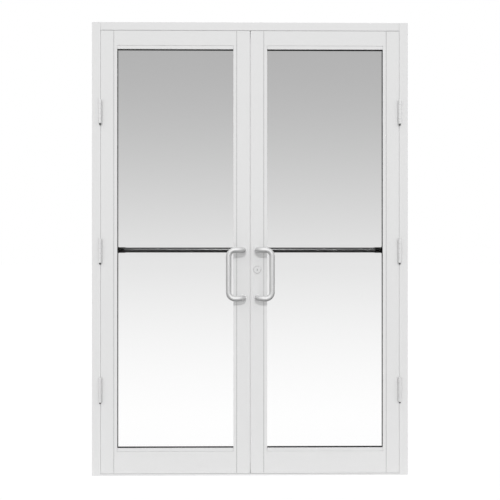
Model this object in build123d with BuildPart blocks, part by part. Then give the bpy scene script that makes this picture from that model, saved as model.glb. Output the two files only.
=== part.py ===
from build123d import *
import os

# A pair of glazed aluminium leaves hung in a tubular frame, in millimetres.
# X runs along the width, the outside looks towards -Y and +Z is up.
# The origin is on the floor line, at mid width and mid depth of the frame.

os.makedirs("parts", exist_ok=True)

# Frame
frame_width = 1524.0
frame_height = 2184.4
frame_depth = 114.3
jamb_face = 41.3
header_face = 38.1
frame_wall = 3.2
anchor_hole_radius = 4.5
anchor_setback = 22.0
anchor_inset = 300.0
header_clip_length = 60.0
clip_wall = 4.0

# Threshold
threshold_height = 9.0
threshold_edge = 8.0
threshold_slope = 24.0
flute_count = 8
flute_pitch = 8.0
flute_width = 3.0
flute_depth = 0.8

# Leaves and the gaps around them
leaf_thickness = 44.45
leaf_wall = 3.2
hinge_gap = 1.0
head_gap = 2.0
meeting_gap = 5.0
sill_gap = 2.0
stile_face = 62.0
top_rail_face = 71.5
bottom_rail_face = 105.0
corner_block_length = 50.0

# Shadow lines where flush pieces meet
joint_width = 1.6
joint_depth = 2.0

# Glass and glazing stops
glass_thickness = 6.35
glass_bite = 11.0
stop_face = 17.0
stop_lip = 5.0
sill_lip = 3.0
stop_wall = 1.8
bead_step = 3.0
bead_bevel = 8.0
butt_gap = 0.8
gasket_lining = 2.0
gasket_depth = 3.0
gasket_foot = 8.0
setting_block_length = 100.0
setting_block_thickness = 8.0
setting_block_share = 0.25

# Door stops behind the leaves, with their bulb seals
door_stop_height = 14.0
door_stop_depth = 25.0
door_stop_wall = 2.0
seal_gap = 2.5
bulb_radius = 2.2
kerf_width = 2.6
kerf_depth = 5.0

# Pile seals in the meeting edges
pile_width = 5.0
pile_depth = 2.0
pile_reach = 2.2
pile_setback = 8.0

# Hinges
hinge_height = 114.3
hinge_top_drop = 393.0
hinge_bottom_rise = 403.5
knuckle_count = 5
knuckle_gap = 0.3
barrel_radius = 8.5
barrel_gap = 0.3
pin_radius = 4.0
pin_clearance = 0.05
pin_tip = 9.0
pin_head_radius = 6.0
pin_head_height = 2.5
plate_thickness = 2.5
plate_gap = 0.2
plate_reach = 38.0

# Pulls outside, bolted back to back with the push bars
hardware_height = 1087.0
pull_radius = 12.7
pull_centres = 228.6
pull_stand_off = 58.0
pull_offset = 68.4
pull_bend = 30.0
bolt_radius = 4.0
bolt_fit = 0.2
bolt_grip = 16.0
bolt_head_radius = 8.0
bolt_head_height = 4.5
bolt_hole_clearance = 0.5

# Push bars inside
bar_radius = 12.7
bar_wall = 2.0
bar_stand_off = 54.7
elbow_radius = 14.0
elbow_bend = 26.0
elbow_run = 45.0
rosette_radius = 30.0
rosette_thickness = 6.0
bracket_inset = 15.0
spigot_length = 25.0
spigot_fit = 0.2

# Lock in the right leaf
lock_drop_share = 0.4156
cylinder_radius = 14.5
cylinder_fit = 0.1
ring_radius = 19.0
ring_height = 6.0
ring_bevel = 2.0
plug_radius = 6.35
plug_clearance = 0.05
plug_proud = 0.6
keyway_width = 2.2
keyway_height = 9.0
keyway_depth = 9.0
case_thickness = 22.0
case_width = 52.0
case_gap = 20.0
case_wall = 2.0
bolt_length = 26.0
bolt_thickness = 13.0
bolt_height = 33.0
bolt_clearance = 0.4
bolt_nose_bevel = 1.5
strike_clearance = 1.5
faceplate_width = 20.0
faceplate_height = 175.0
faceplate_thickness = 2.0
rose_height = 5.0
spindle_radius = 5.0
tailpiece_width = 6.0
tailpiece_thickness = 2.5
turn_length = 32.0
turn_width = 9.0
turn_depth = 15.0
turn_gap = 0.3

# Flush bolts in the left leaf's meeting edge
flush_reach = 300.0
flush_travel = 19.0
flush_plate_height = 130.0
housing_height = 90.0
housing_width = 17.0
housing_depth = 27.0
housing_wall = 2.0
slide_height = 26.0
slide_clearance = 0.3
thumb_height = 14.0
thumb_width = 6.0
rod_radius = 5.0
rod_clearance = 0.08
rod_setback = 17.0
rod_recess = 1.5
guide_thickness = 6.0
strike_width = 14.0

cut_overrun = 1.0

# Places that follow from the sizes
face_y = -frame_depth / 2
jamb_inner = frame_width / 2 - jamb_face
header_bottom = frame_height - header_face
leaf_back = face_y + leaf_thickness
leaf_mid = face_y + leaf_thickness / 2
leaf_outer = jamb_inner - hinge_gap
leaf_inner = meeting_gap / 2
leaf_bottom = threshold_height + sill_gap
leaf_top = header_bottom - head_gap
leaf_height = leaf_top - leaf_bottom
hinge_stile_inner = leaf_outer - stile_face
meeting_stile_inner = leaf_inner + stile_face
opening_bottom = leaf_bottom + bottom_rail_face
opening_top = leaf_top - top_rail_face
opening_height = opening_top - opening_bottom
pocket_depth = (leaf_thickness - glass_thickness) / 2
stop_depth = pocket_depth - gasket_depth
glass_margin = stop_face - glass_bite
hinge_low = leaf_bottom + hinge_bottom_rise
hinge_high = leaf_top - hinge_top_drop
hinge_heights = (hinge_low, (hinge_low + hinge_high) / 2, hinge_high)
hinge_axis_x = jamb_inner - hinge_gap / 2
hinge_axis_y = face_y - barrel_gap - barrel_radius
mortise_depth = plate_thickness + plate_gap / 2 - hinge_gap / 2
knuckle_pitch = hinge_height / knuckle_count
lock_x = leaf_inner + stile_face / 2
pull_low = hardware_height - pull_centres
lock_height = hardware_height - lock_drop_share * pull_centres
bar_y = leaf_back + bar_stand_off
hinge_post_x = hinge_stile_inner + bracket_inset
bar_inner = lock_x + elbow_run
bar_outer = hinge_post_x - elbow_run
case_front = leaf_mid - case_thickness / 2
case_back = leaf_mid + case_thickness / 2
edge_inside = leaf_inner + leaf_wall
pile_y = face_y + pile_setback
anchor_y = frame_depth / 2 - anchor_setback
door_stop_front = leaf_back + seal_gap
door_stop_inner = jamb_inner - door_stop_height
rod_x = -(leaf_inner + rod_setback)


def save(piece, node):
    """Label a finished piece and write it to its own file."""
    piece.part.label = node
    export_step(piece.part, f"parts/{node}.step")


def tube_section(width, depth, wall):
    """Draw a hollow rectangular extrusion section."""
    Rectangle(width, depth)
    Rectangle(width - 2 * wall, depth - 2 * wall, mode=Mode.SUBTRACT)


def block(corner, opposite, mode=Mode.ADD):
    """Add or cut a block that spans two opposite corners."""
    sizes = [abs(b - a) for a, b in zip(corner, opposite)]
    middle = tuple((a + b) / 2 for a, b in zip(corner, opposite))
    with Locations(middle):
        Box(*sizes, mode=mode)


def round_x(spots, radius, low, high, mode=Mode.ADD):
    """Add or cut rounds along X, from low to high, at spots given as (y, z)."""
    with BuildSketch(Plane.YZ.offset(low)) as rounds:
        with Locations(*spots):
            Circle(radius)
    extrude(rounds.sketch, amount=high - low, mode=mode)


def round_y(spots, radius, low, high, mode=Mode.ADD):
    """Add or cut rounds along Y, from low to high, at spots given as (x, z)."""
    with BuildSketch(Plane.XZ.offset(-high)) as rounds:
        with Locations(*spots):
            Circle(radius)
    extrude(rounds.sketch, amount=high - low, mode=mode)


def round_z(spots, radius, low, high, mode=Mode.ADD):
    """Add or cut rounds along Z, from low to high, at spots given as (x, y)."""
    with BuildSketch(Plane.XY.offset(low)) as rounds:
        with Locations(*spots):
            Circle(radius)
    extrude(rounds.sketch, amount=high - low, mode=mode)


def draw_outline(points, mode=Mode.ADD):
    """Draw a closed outline through points in a sketch."""
    Polygon(*points, align=None, mode=mode)


def strike_hole(low, high):
    """Cut the square hole that takes a flush bolt's rod."""
    half = strike_width / 2
    block((rod_x - half, leaf_mid - half, low), (rod_x + half, leaf_mid + half, high), mode=Mode.SUBTRACT)


def hinge_mortises(side, low, high):
    """Cut the hinge plates' shallow seats between two distances from mid width."""
    for height in hinge_heights:
        block(
            (side * low, face_y - cut_overrun, height - hinge_height / 2),
            (side * high, face_y + plate_reach, height + hinge_height / 2),
            mode=Mode.SUBTRACT,
        )


def end_grooves(start, end, front, back, low, high):
    """Cut the shadow lines at both ends of a piece along X, on its front and its back."""
    for mouth, floor in ((front - cut_overrun, front + joint_depth), (back + cut_overrun, back - joint_depth)):
        for edge, inner in ((start, start + joint_width), (end, end - joint_width)):
            block((edge, mouth, low), (inner, floor, high), mode=Mode.SUBTRACT)


# Jambs: full height tubes with hinge seats and anchor holes through both walls
for side, hand in ((-1, "left"), (1, "right")):
    with BuildPart() as jamb:
        with BuildSketch():
            with Locations((side * (jamb_inner + jamb_face / 2), 0)):
                tube_section(jamb_face, frame_depth, frame_wall)
        extrude(amount=frame_height)
        hinge_mortises(side, jamb_inner - cut_overrun, jamb_inner + mortise_depth)
        ends = sorted((side * (jamb_inner - cut_overrun), side * (frame_width / 2 + cut_overrun)))
        anchors = ((anchor_y, anchor_inset), (anchor_y, frame_height - anchor_inset))
        round_x(anchors, anchor_hole_radius, *ends, mode=Mode.SUBTRACT)
    save(jamb, f"{hand}_jamb")

# Header: a tube between the jambs, with the upper flush bolt's hole below
with BuildPart() as header:
    with BuildSketch(Plane.YZ.offset(-jamb_inner)):
        with Locations((0, header_bottom + header_face / 2)):
            tube_section(frame_depth, header_face, frame_wall)
    extrude(amount=2 * jamb_inner)
    end_grooves(-jamb_inner, jamb_inner, face_y, -face_y, header_bottom, frame_height)
    strike_hole(header_bottom - cut_overrun, header_bottom + frame_wall + cut_overrun)
save(header, "header")

# Header clips: short channels that the header's ends slide over
with BuildPart() as header_clips:
    for start in (-jamb_inner, jamb_inner - header_clip_length):
        with BuildSketch(Plane.YZ.offset(start)):
            with Locations((0, header_bottom + header_face / 2)):
                tube_section(frame_depth - 2 * frame_wall, header_face - 2 * frame_wall, clip_wall)
        extrude(amount=header_clip_length)
save(header_clips, "header_clips")

# Threshold: a saddle with sloped shoulders and a fluted tread
tread = frame_depth / 2 - threshold_slope
with BuildPart() as threshold:
    with BuildSketch(Plane.YZ.offset(-jamb_inner)):
        draw_outline(
            [
                (-frame_depth / 2, 0),
                (frame_depth / 2, 0),
                (frame_depth / 2, threshold_edge),
                (tread, threshold_height),
                (-tread, threshold_height),
                (-frame_depth / 2, threshold_edge),
            ]
        )
        with Locations((0, threshold_height)):
            with GridLocations(flute_pitch, 0, flute_count, 1):
                Rectangle(flute_width, 2 * flute_depth, mode=Mode.SUBTRACT)
    extrude(amount=2 * jamb_inner)
    strike_hole(-cut_overrun, threshold_height + cut_overrun)
save(threshold, "threshold")


def door_stop_section(place):
    """Draw a door stop: a hollow bar with a kerf for its seal, by depth and height."""
    kerf_low = (door_stop_height - kerf_width) / 2
    kerf_high = (door_stop_height + kerf_width) / 2
    draw_outline(
        [
            place(0, 0),
            place(0, kerf_low),
            place(kerf_depth, kerf_low),
            place(kerf_depth, kerf_high),
            place(0, kerf_high),
            place(0, door_stop_height),
            place(door_stop_depth, door_stop_height),
            place(door_stop_depth, 0),
        ]
    )
    hollow_start = kerf_depth + door_stop_wall
    hollow_end = door_stop_depth - door_stop_wall
    hollow_top = door_stop_height - door_stop_wall
    draw_outline(
        [
            place(hollow_start, door_stop_wall),
            place(hollow_end, door_stop_wall),
            place(hollow_end, hollow_top),
            place(hollow_start, hollow_top),
        ],
        mode=Mode.SUBTRACT,
    )


def bulb_section(place):
    """Draw a seal: a stem that fills the kerf and a half-round bulb in front of it."""
    middle = door_stop_height / 2
    with BuildLine() as outline:
        Polyline(
            place(0, middle - bulb_radius),
            place(0, middle - kerf_width / 2),
            place(kerf_depth, middle - kerf_width / 2),
            place(kerf_depth, middle + kerf_width / 2),
            place(0, middle + kerf_width / 2),
            place(0, middle + bulb_radius),
        )
        ThreePointArc(
            place(0, middle + bulb_radius),
            place(-bulb_radius, middle),
            place(0, middle - bulb_radius),
        )
    make_face(outline.edges())


# Side door stops and their seals, from threshold to header
for side, hand in ((-1, "left"), (1, "right")):
    def plan_place(depth, height):
        """Put a stop's depth and height on the plan."""
        return (side * (jamb_inner - height), door_stop_front + depth)

    for section, node in ((door_stop_section, "door_stop"), (bulb_section, "frame_seal")):
        with BuildPart() as upright:
            with BuildSketch(Plane.XY.offset(threshold_height)):
                section(plan_place)
            extrude(amount=header_bottom - threshold_height)
        save(upright, f"{hand}_{node}")


def head_place(depth, height):
    """Put a head stop's depth and height on its end view."""
    return (door_stop_front + depth, header_bottom - height)


# Head door stop and its seal, between the side stops
for section, node in ((door_stop_section, "head_door_stop"), (bulb_section, "head_frame_seal")):
    with BuildPart() as head_bar:
        with BuildSketch(Plane.YZ.offset(-door_stop_inner)):
            section(head_place)
        extrude(amount=2 * door_stop_inner)
    save(head_bar, node)


def hinge_half(side, outward, knuckles):
    """Build three hinge plates with their knuckles, outward of the axis or inward."""
    plate_x = side * (hinge_axis_x + outward * (plate_gap + plate_thickness) / 2)
    axis = (side * hinge_axis_x, hinge_axis_y)
    for height in hinge_heights:
        bottom = height - hinge_height / 2
        with BuildSketch(Plane.XY.offset(bottom)) as plate:
            with Locations((plate_x, face_y + plate_reach / 2)):
                Rectangle(plate_thickness, plate_reach)
        extrude(plate.sketch, amount=hinge_height)
        for knuckle in knuckles:
            start = bottom + knuckle * knuckle_pitch + knuckle_gap / 2
            with BuildSketch(Plane.XY.offset(start)) as loop:
                with Locations(axis):
                    Circle(barrel_radius)
                with Locations((plate_x, (hinge_axis_y + face_y) / 2)):
                    Rectangle(plate_thickness, face_y - hinge_axis_y)
                with Locations(axis):
                    Circle(pin_radius + pin_clearance, mode=Mode.SUBTRACT)
            extrude(loop.sketch, amount=knuckle_pitch - knuckle_gap)


# Hinges: the frame's plates carry the odd knuckles, the leaf's plates the ones between
for side, hand in ((-1, "left"), (1, "right")):
    with BuildPart() as frame_plates:
        hinge_half(side, 1, range(0, knuckle_count, 2))
    save(frame_plates, f"{hand}_hinge_frame_plates")

    with BuildPart() as door_plates:
        hinge_half(side, -1, range(1, knuckle_count, 2))
    save(door_plates, f"{hand}_hinge_door_plates")

    with BuildPart() as pins:
        for height in hinge_heights:
            axis = [(side * hinge_axis_x, hinge_axis_y)]
            bottom = height - hinge_height / 2
            top = height + hinge_height / 2
            round_z(axis, pin_radius, bottom - pin_tip, top)
            round_z(axis, pin_head_radius, top, top + pin_head_height)
    save(pins, f"{hand}_hinge_pins")


def glazing_stop(place, lip=stop_lip):
    """Draw a snap-in stop by distance from the stile and depth from the leaf's face."""
    lined = stop_face - gasket_lining
    hollow = joint_width + stop_wall
    draw_outline(
        [
            place(joint_width, 0),
            place(stop_face, 0),
            place(stop_face, lip),
            place(lined, lip),
            place(lined, stop_depth),
            place(0, stop_depth),
            place(0, joint_depth),
            place(joint_width, joint_depth),
        ]
    )
    draw_outline(
        [
            place(hollow, stop_wall),
            place(lined - stop_wall, stop_wall),
            place(lined - stop_wall, stop_depth - stop_wall),
            place(hollow, stop_depth - stop_wall),
        ],
        mode=Mode.SUBTRACT,
    )


def glazing_gasket(place, lip=stop_lip):
    """Draw the rubber that lines a stop's edge behind its lip and bears on the glass."""
    lined = stop_face - gasket_lining
    heel = stop_face - gasket_foot
    draw_outline(
        [
            place(lined, lip),
            place(stop_face, lip),
            place(stop_face, pocket_depth),
            place(heel, pocket_depth),
            place(heel, stop_depth),
            place(lined, stop_depth),
        ]
    )


def sill_stop(place):
    """Draw the stop on the bottom rail, which has a deeper lip."""
    glazing_stop(place, sill_lip)


def sill_gasket(place):
    """Draw the rubber behind the bottom rail's lip."""
    glazing_gasket(place, sill_lip)


def glazing_bead(place):
    """Draw an inside bead whose edge slopes away from the glass, by the same two distances."""
    sight = stop_face - bead_step
    crest = sight - bead_bevel
    hollow = joint_width + stop_wall
    draw_outline(
        [
            place(joint_width, 0),
            place(crest, 0),
            place(sight, stop_depth),
            place(0, stop_depth),
            place(0, joint_depth),
            place(joint_width, joint_depth),
        ]
    )
    draw_outline(
        [
            place(hollow, stop_wall),
            place(crest - stop_wall / 2, stop_wall),
            place(sight - 2 * stop_wall, stop_depth - stop_wall),
            place(hollow, stop_depth - stop_wall),
        ],
        mode=Mode.SUBTRACT,
    )


def bead_gasket(place):
    """Draw the rubber between an inside bead and the glass."""
    sight = stop_face - bead_step
    heel = stop_face - gasket_foot
    draw_outline(
        [
            place(heel, stop_depth),
            place(sight, stop_depth),
            place(sight, pocket_depth),
            place(heel, pocket_depth),
        ]
    )


def glazing_ring(side, section, sill_section, from_face):
    """Extrude a section along both stiles and, between those, along the top rail and the sill."""
    for edge, inward in ((hinge_stile_inner, -1), (meeting_stile_inner, 1)):
        with BuildSketch(Plane.XY.offset(opening_bottom)) as upright:
            section(lambda u, v: (side * (edge + inward * u), from_face(v)))
        extrude(upright.sketch, amount=opening_height)
    first = meeting_stile_inner + stop_face + butt_gap
    last = hinge_stile_inner - stop_face - butt_gap
    for edge, inward, outline in ((opening_top, -1, section), (opening_bottom, 1, sill_section)):
        with BuildSketch(Plane.YZ.offset(min(side * first, side * last))) as cross:
            outline(lambda u, v: (from_face(v), edge + inward * u))
        extrude(cross.sketch, amount=last - first)


def front_depth(depth):
    """Give the place of a depth behind the leaf's outside face."""
    return face_y + depth


def rear_depth(depth):
    """Give the place of a depth in front of the leaf's inside face."""
    return leaf_back - depth


def stile_tube(side, inner):
    """Extrude a stile's tube, from its edge nearer mid width."""
    with BuildSketch(Plane.XY.offset(leaf_bottom)) as tube:
        with Locations((side * (inner + stile_face / 2), leaf_mid)):
            tube_section(stile_face, leaf_thickness, leaf_wall)
    extrude(tube.sketch, amount=leaf_height)


def edge_cut(side, depth, width, middle, height):
    """Cut a seat or slot into a meeting edge, around mid thickness."""
    block(
        (side * (leaf_inner - cut_overrun), leaf_mid - width / 2, middle - height / 2),
        (side * (leaf_inner + depth), leaf_mid + width / 2, middle + height / 2),
        mode=Mode.SUBTRACT,
    )


flush_ends = (("top", leaf_top, 1), ("bottom", leaf_bottom, -1))
slot_width = bolt_thickness + 2 * bolt_clearance
slot_height = bolt_height + 2 * bolt_clearance
strike_slot_width = bolt_thickness + 2 * strike_clearance
strike_slot_height = bolt_height + 2 * strike_clearance

# Leaves: what both of them have
for side, hand in ((-1, "left"), (1, "right")):
    with BuildPart() as hinge_stile:
        stile_tube(side, hinge_stile_inner)
        hinge_mortises(side, leaf_outer - mortise_depth, leaf_outer + cut_overrun)
    save(hinge_stile, f"{hand}_hinge_stile")

    # The meeting stile takes the pile seal, the pull's bolts, and the lock or the flush bolts
    with BuildPart() as meeting_stile:
        stile_tube(side, leaf_inner)
        block(
            (side * (leaf_inner - cut_overrun), pile_y - pile_width / 2, leaf_bottom - cut_overrun),
            (side * (leaf_inner + pile_depth), pile_y + pile_width / 2, leaf_top + cut_overrun),
            mode=Mode.SUBTRACT,
        )
        bolt_spots = [(side * lock_x, hardware_height), (side * lock_x, pull_low)]
        through = (face_y - cut_overrun, leaf_back + cut_overrun)
        round_y(bolt_spots, bolt_radius + bolt_hole_clearance, *through, mode=Mode.SUBTRACT)
        if side > 0:
            edge_cut(side, leaf_wall + cut_overrun, slot_width, lock_height, slot_height)
            edge_cut(side, faceplate_thickness, faceplate_width, lock_height, faceplate_height)
            lock_spot = [(lock_x, lock_height)]
            round_y(lock_spot, cylinder_radius + cylinder_fit, *through, mode=Mode.SUBTRACT)
        else:
            edge_cut(side, leaf_wall + cut_overrun, strike_slot_width, lock_height, strike_slot_height)
            for end, end_z, way in flush_ends:
                middle = end_z - way * flush_reach
                edge_cut(side, faceplate_thickness, faceplate_width, middle, flush_plate_height)
                edge_cut(side, leaf_wall + cut_overrun, housing_width, middle, housing_height)
    save(meeting_stile, f"{hand}_meeting_stile")

    rail_start = min(side * meeting_stile_inner, side * hinge_stile_inner)
    rail_length = hinge_stile_inner - meeting_stile_inner
    rails = (("top_rail", leaf_top - top_rail_face / 2, top_rail_face),
             ("bottom_rail", leaf_bottom + bottom_rail_face / 2, bottom_rail_face))
    for node, middle, rail_face in rails:
        with BuildPart() as rail:
            with BuildSketch(Plane.YZ.offset(rail_start)):
                with Locations((leaf_mid, middle)):
                    tube_section(leaf_thickness, rail_face, leaf_wall)
            extrude(amount=rail_length)
            rail_ends = (rail_start, rail_start + rail_length)
            end_grooves(*rail_ends, face_y, leaf_back, middle - rail_face / 2, middle + rail_face / 2)
        save(rail, f"{hand}_{node}")

    # Corner blocks fill the rails' ends and are bolted to the stiles
    with BuildPart() as corner_blocks:
        for node, middle, rail_face in rails:
            for start in (rail_start, rail_start + rail_length - corner_block_length):
                with BuildSketch(Plane.YZ.offset(start)):
                    with Locations((leaf_mid, middle)):
                        tube_section(leaf_thickness - 2 * leaf_wall, rail_face - 2 * leaf_wall, clip_wall)
                extrude(amount=corner_block_length)
    save(corner_blocks, f"{hand}_corner_blocks")

    glass_width = rail_length - 2 * glass_margin
    with BuildPart() as glass:
        with BuildSketch(Plane.XY.offset(opening_bottom + glass_margin)):
            with Locations((rail_start + rail_length / 2, leaf_mid)):
                Rectangle(glass_width, glass_thickness)
        extrude(amount=opening_height - 2 * glass_margin)
    save(glass, f"{hand}_glass")

    with BuildPart() as setting_blocks:
        for share in (setting_block_share, 1 - setting_block_share):
            middle_x = rail_start + rail_length * share
            block(
                (middle_x - setting_block_length / 2, leaf_mid - setting_block_thickness / 2, opening_bottom),
                (
                    middle_x + setting_block_length / 2,
                    leaf_mid + setting_block_thickness / 2,
                    opening_bottom + glass_margin,
                ),
            )
    save(setting_blocks, f"{hand}_setting_blocks")

    glazing = (
        ("front_stops", front_depth, glazing_stop, sill_stop),
        ("front_gaskets", front_depth, glazing_gasket, sill_gasket),
        ("rear_stops", rear_depth, glazing_bead, glazing_bead),
        ("rear_gaskets", rear_depth, bead_gasket, bead_gasket),
    )
    for node, from_face, section, sill_section in glazing:
        with BuildPart() as ring:
            glazing_ring(side, section, sill_section, from_face)
        save(ring, f"{hand}_{node}")

    with BuildPart() as pile:
        block(
            (side * (leaf_inner - pile_reach), pile_y - pile_width / 2, leaf_bottom),
            (side * (leaf_inner + pile_depth), pile_y + pile_width / 2, leaf_top),
        )
    save(pile, f"{hand}_meeting_seal")

    # Pull: one round bar, out from the stile, across to the glass and down the grip
    pull_front = face_y - pull_stand_off
    grip_x = lock_x + pull_offset
    with BuildPart() as pull:
        with BuildLine() as route:
            FilletPolyline(
                (side * lock_x, face_y, hardware_height),
                (side * lock_x, pull_front, hardware_height),
                (side * grip_x, pull_front, hardware_height),
                (side * grip_x, pull_front, pull_low),
                (side * lock_x, pull_front, pull_low),
                (side * lock_x, face_y, pull_low),
                radius=pull_bend,
            )
        with BuildSketch(Plane(origin=route.line @ 0, z_dir=route.line % 0)):
            Circle(pull_radius)
        sweep()
        round_y(bolt_spots, bolt_radius + bolt_fit, face_y - bolt_grip, face_y, mode=Mode.SUBTRACT)
    save(pull, f"{hand}_pull")

    # The upper bolt is a stud into the push bar's bracket, the lower one has a head inside
    with BuildPart() as pull_bolts:
        round_y(bolt_spots[:1], bolt_radius, face_y - bolt_grip, leaf_back + bolt_grip)
        round_y(bolt_spots[1:], bolt_radius, face_y - bolt_grip, leaf_back)
        round_y(bolt_spots[1:], bolt_head_radius, leaf_back, leaf_back + bolt_head_height)
    save(pull_bolts, f"{hand}_pull_bolts")

    bar_ends = sorted((side * bar_inner, side * bar_outer))
    with BuildPart() as push_bar:
        round_x([(bar_y, hardware_height)], bar_radius, *bar_ends)
        round_x([(bar_y, hardware_height)], bar_radius - bar_wall, *bar_ends, mode=Mode.SUBTRACT)
    save(push_bar, f"{hand}_push_bar")

    # Elbow brackets stand on rosettes and hold the bar on spigots
    with BuildPart() as brackets:
        for post_x, bar_end, inward in ((lock_x, bar_inner, 1), (hinge_post_x, bar_outer, -1)):
            foot = (side * post_x, leaf_back, hardware_height)
            with BuildLine():
                FilletPolyline(
                    foot,
                    (side * post_x, bar_y, hardware_height),
                    (side * bar_end, bar_y, hardware_height),
                    radius=elbow_bend,
                )
            with BuildSketch(Plane(origin=foot, z_dir=(0, 1, 0))):
                Circle(elbow_radius)
            sweep()
            spot = [(side * post_x, hardware_height)]
            round_y(spot, rosette_radius, leaf_back, leaf_back + rosette_thickness)
            spigot = sorted((side * bar_end, side * (bar_end + inward * spigot_length)))
            round_x([(bar_y, hardware_height)], bar_radius - bar_wall - spigot_fit, *spigot)
        stud = [(side * lock_x, hardware_height)]
        round_y(stud, bolt_radius + bolt_fit, leaf_back, leaf_back + bolt_grip, mode=Mode.SUBTRACT)
    save(brackets, f"{hand}_push_bar_brackets")

# Lock case: a box between the pull's bolts, open to the edge and bored for the cylinder and the rose
case_bottom = pull_low + bolt_radius + bolt_hole_clearance + case_gap
case_top = hardware_height - bolt_radius - bolt_hole_clearance - case_gap
with BuildPart() as lock_case:
    block((edge_inside, case_front, case_bottom), (edge_inside + case_width, case_back, case_top))
    block(
        (edge_inside - cut_overrun, case_front + case_wall, case_bottom + case_wall),
        (edge_inside + case_width - case_wall, case_back - case_wall, case_top - case_wall),
        mode=Mode.SUBTRACT,
    )
    bore = (case_front - cut_overrun, case_back + cut_overrun)
    round_y([(lock_x, lock_height)], cylinder_radius + cylinder_fit, *bore, mode=Mode.SUBTRACT)
save(lock_case, "lock_case")

with BuildPart() as faceplate:
    block(
        (leaf_inner, leaf_mid - faceplate_width / 2, lock_height - faceplate_height / 2),
        (leaf_inner + faceplate_thickness, leaf_mid + faceplate_width / 2, lock_height + faceplate_height / 2),
    )
    edge_cut(1, leaf_wall, slot_width, lock_height, slot_height)
save(faceplate, "lock_faceplate")

# Cylinder: a threaded barrel behind a tapered ring, bored for the plug
cylinder_end = case_front + case_wall
ring_front = face_y - ring_height
with BuildPart() as cylinder:
    with BuildSketch(Plane.XY.offset(lock_height)):
        draw_outline(
            [
                (lock_x + plug_radius + plug_clearance, ring_front),
                (lock_x + ring_radius - ring_bevel, ring_front),
                (lock_x + ring_radius, face_y),
                (lock_x + cylinder_radius, face_y),
                (lock_x + cylinder_radius, cylinder_end),
                (lock_x + plug_radius + plug_clearance, cylinder_end),
            ]
        )
    revolve(axis=Axis((lock_x, 0, lock_height), (0, 1, 0)))
save(cylinder, "lock_cylinder")

plug_front = ring_front - plug_proud
with BuildPart() as key_plug:
    round_y([(lock_x, lock_height)], plug_radius, plug_front, cylinder_end)
    block(
        (lock_x - keyway_width / 2, plug_front - cut_overrun, lock_height - keyway_height / 2),
        (lock_x + keyway_width / 2, plug_front + keyway_depth, lock_height + keyway_height / 2),
        mode=Mode.SUBTRACT,
    )
save(key_plug, "key_plug")

# Thumb turn rose: the same ring inside, bored for the spindle
rose_end = case_back - case_wall
rose_front = leaf_back + rose_height
with BuildPart() as rose:
    with BuildSketch(Plane.XY.offset(lock_height)):
        draw_outline(
            [
                (lock_x + spindle_radius + plug_clearance, rose_end),
                (lock_x + cylinder_radius, rose_end),
                (lock_x + cylinder_radius, leaf_back),
                (lock_x + ring_radius, leaf_back),
                (lock_x + ring_radius - ring_bevel, rose_front),
                (lock_x + spindle_radius + plug_clearance, rose_front),
            ]
        )
    revolve(axis=Axis((lock_x, 0, lock_height), (0, 1, 0)))
save(rose, "thumb_turn_rose")

# Thumb turn: a wing on a spindle, with the flat tailpiece that reaches the key plug
turn_start = rose_front + turn_gap
with BuildPart() as thumb_turn:
    round_y([(lock_x, lock_height)], spindle_radius, rose_end, turn_start)
    with BuildSketch(Plane.XZ.offset(-turn_start - turn_depth)):
        with Locations((lock_x, lock_height)):
            SlotOverall(turn_length, turn_width, rotation=90)
    extrude(amount=turn_depth)
    block(
        (lock_x - tailpiece_thickness / 2, cylinder_end, lock_height - tailpiece_width / 2),
        (lock_x + tailpiece_thickness / 2, rose_end, lock_height + tailpiece_width / 2),
    )
save(thumb_turn, "thumb_turn")

with BuildPart() as lock_bolt:
    block(
        (leaf_inner, leaf_mid - bolt_thickness / 2, lock_height - bolt_height / 2),
        (leaf_inner + bolt_length, leaf_mid + bolt_thickness / 2, lock_height + bolt_height / 2),
    )
    chamfer(lock_bolt.faces().sort_by(Axis.X)[0].edges(), bolt_nose_bevel)
save(lock_bolt, "lock_bolt")

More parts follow.
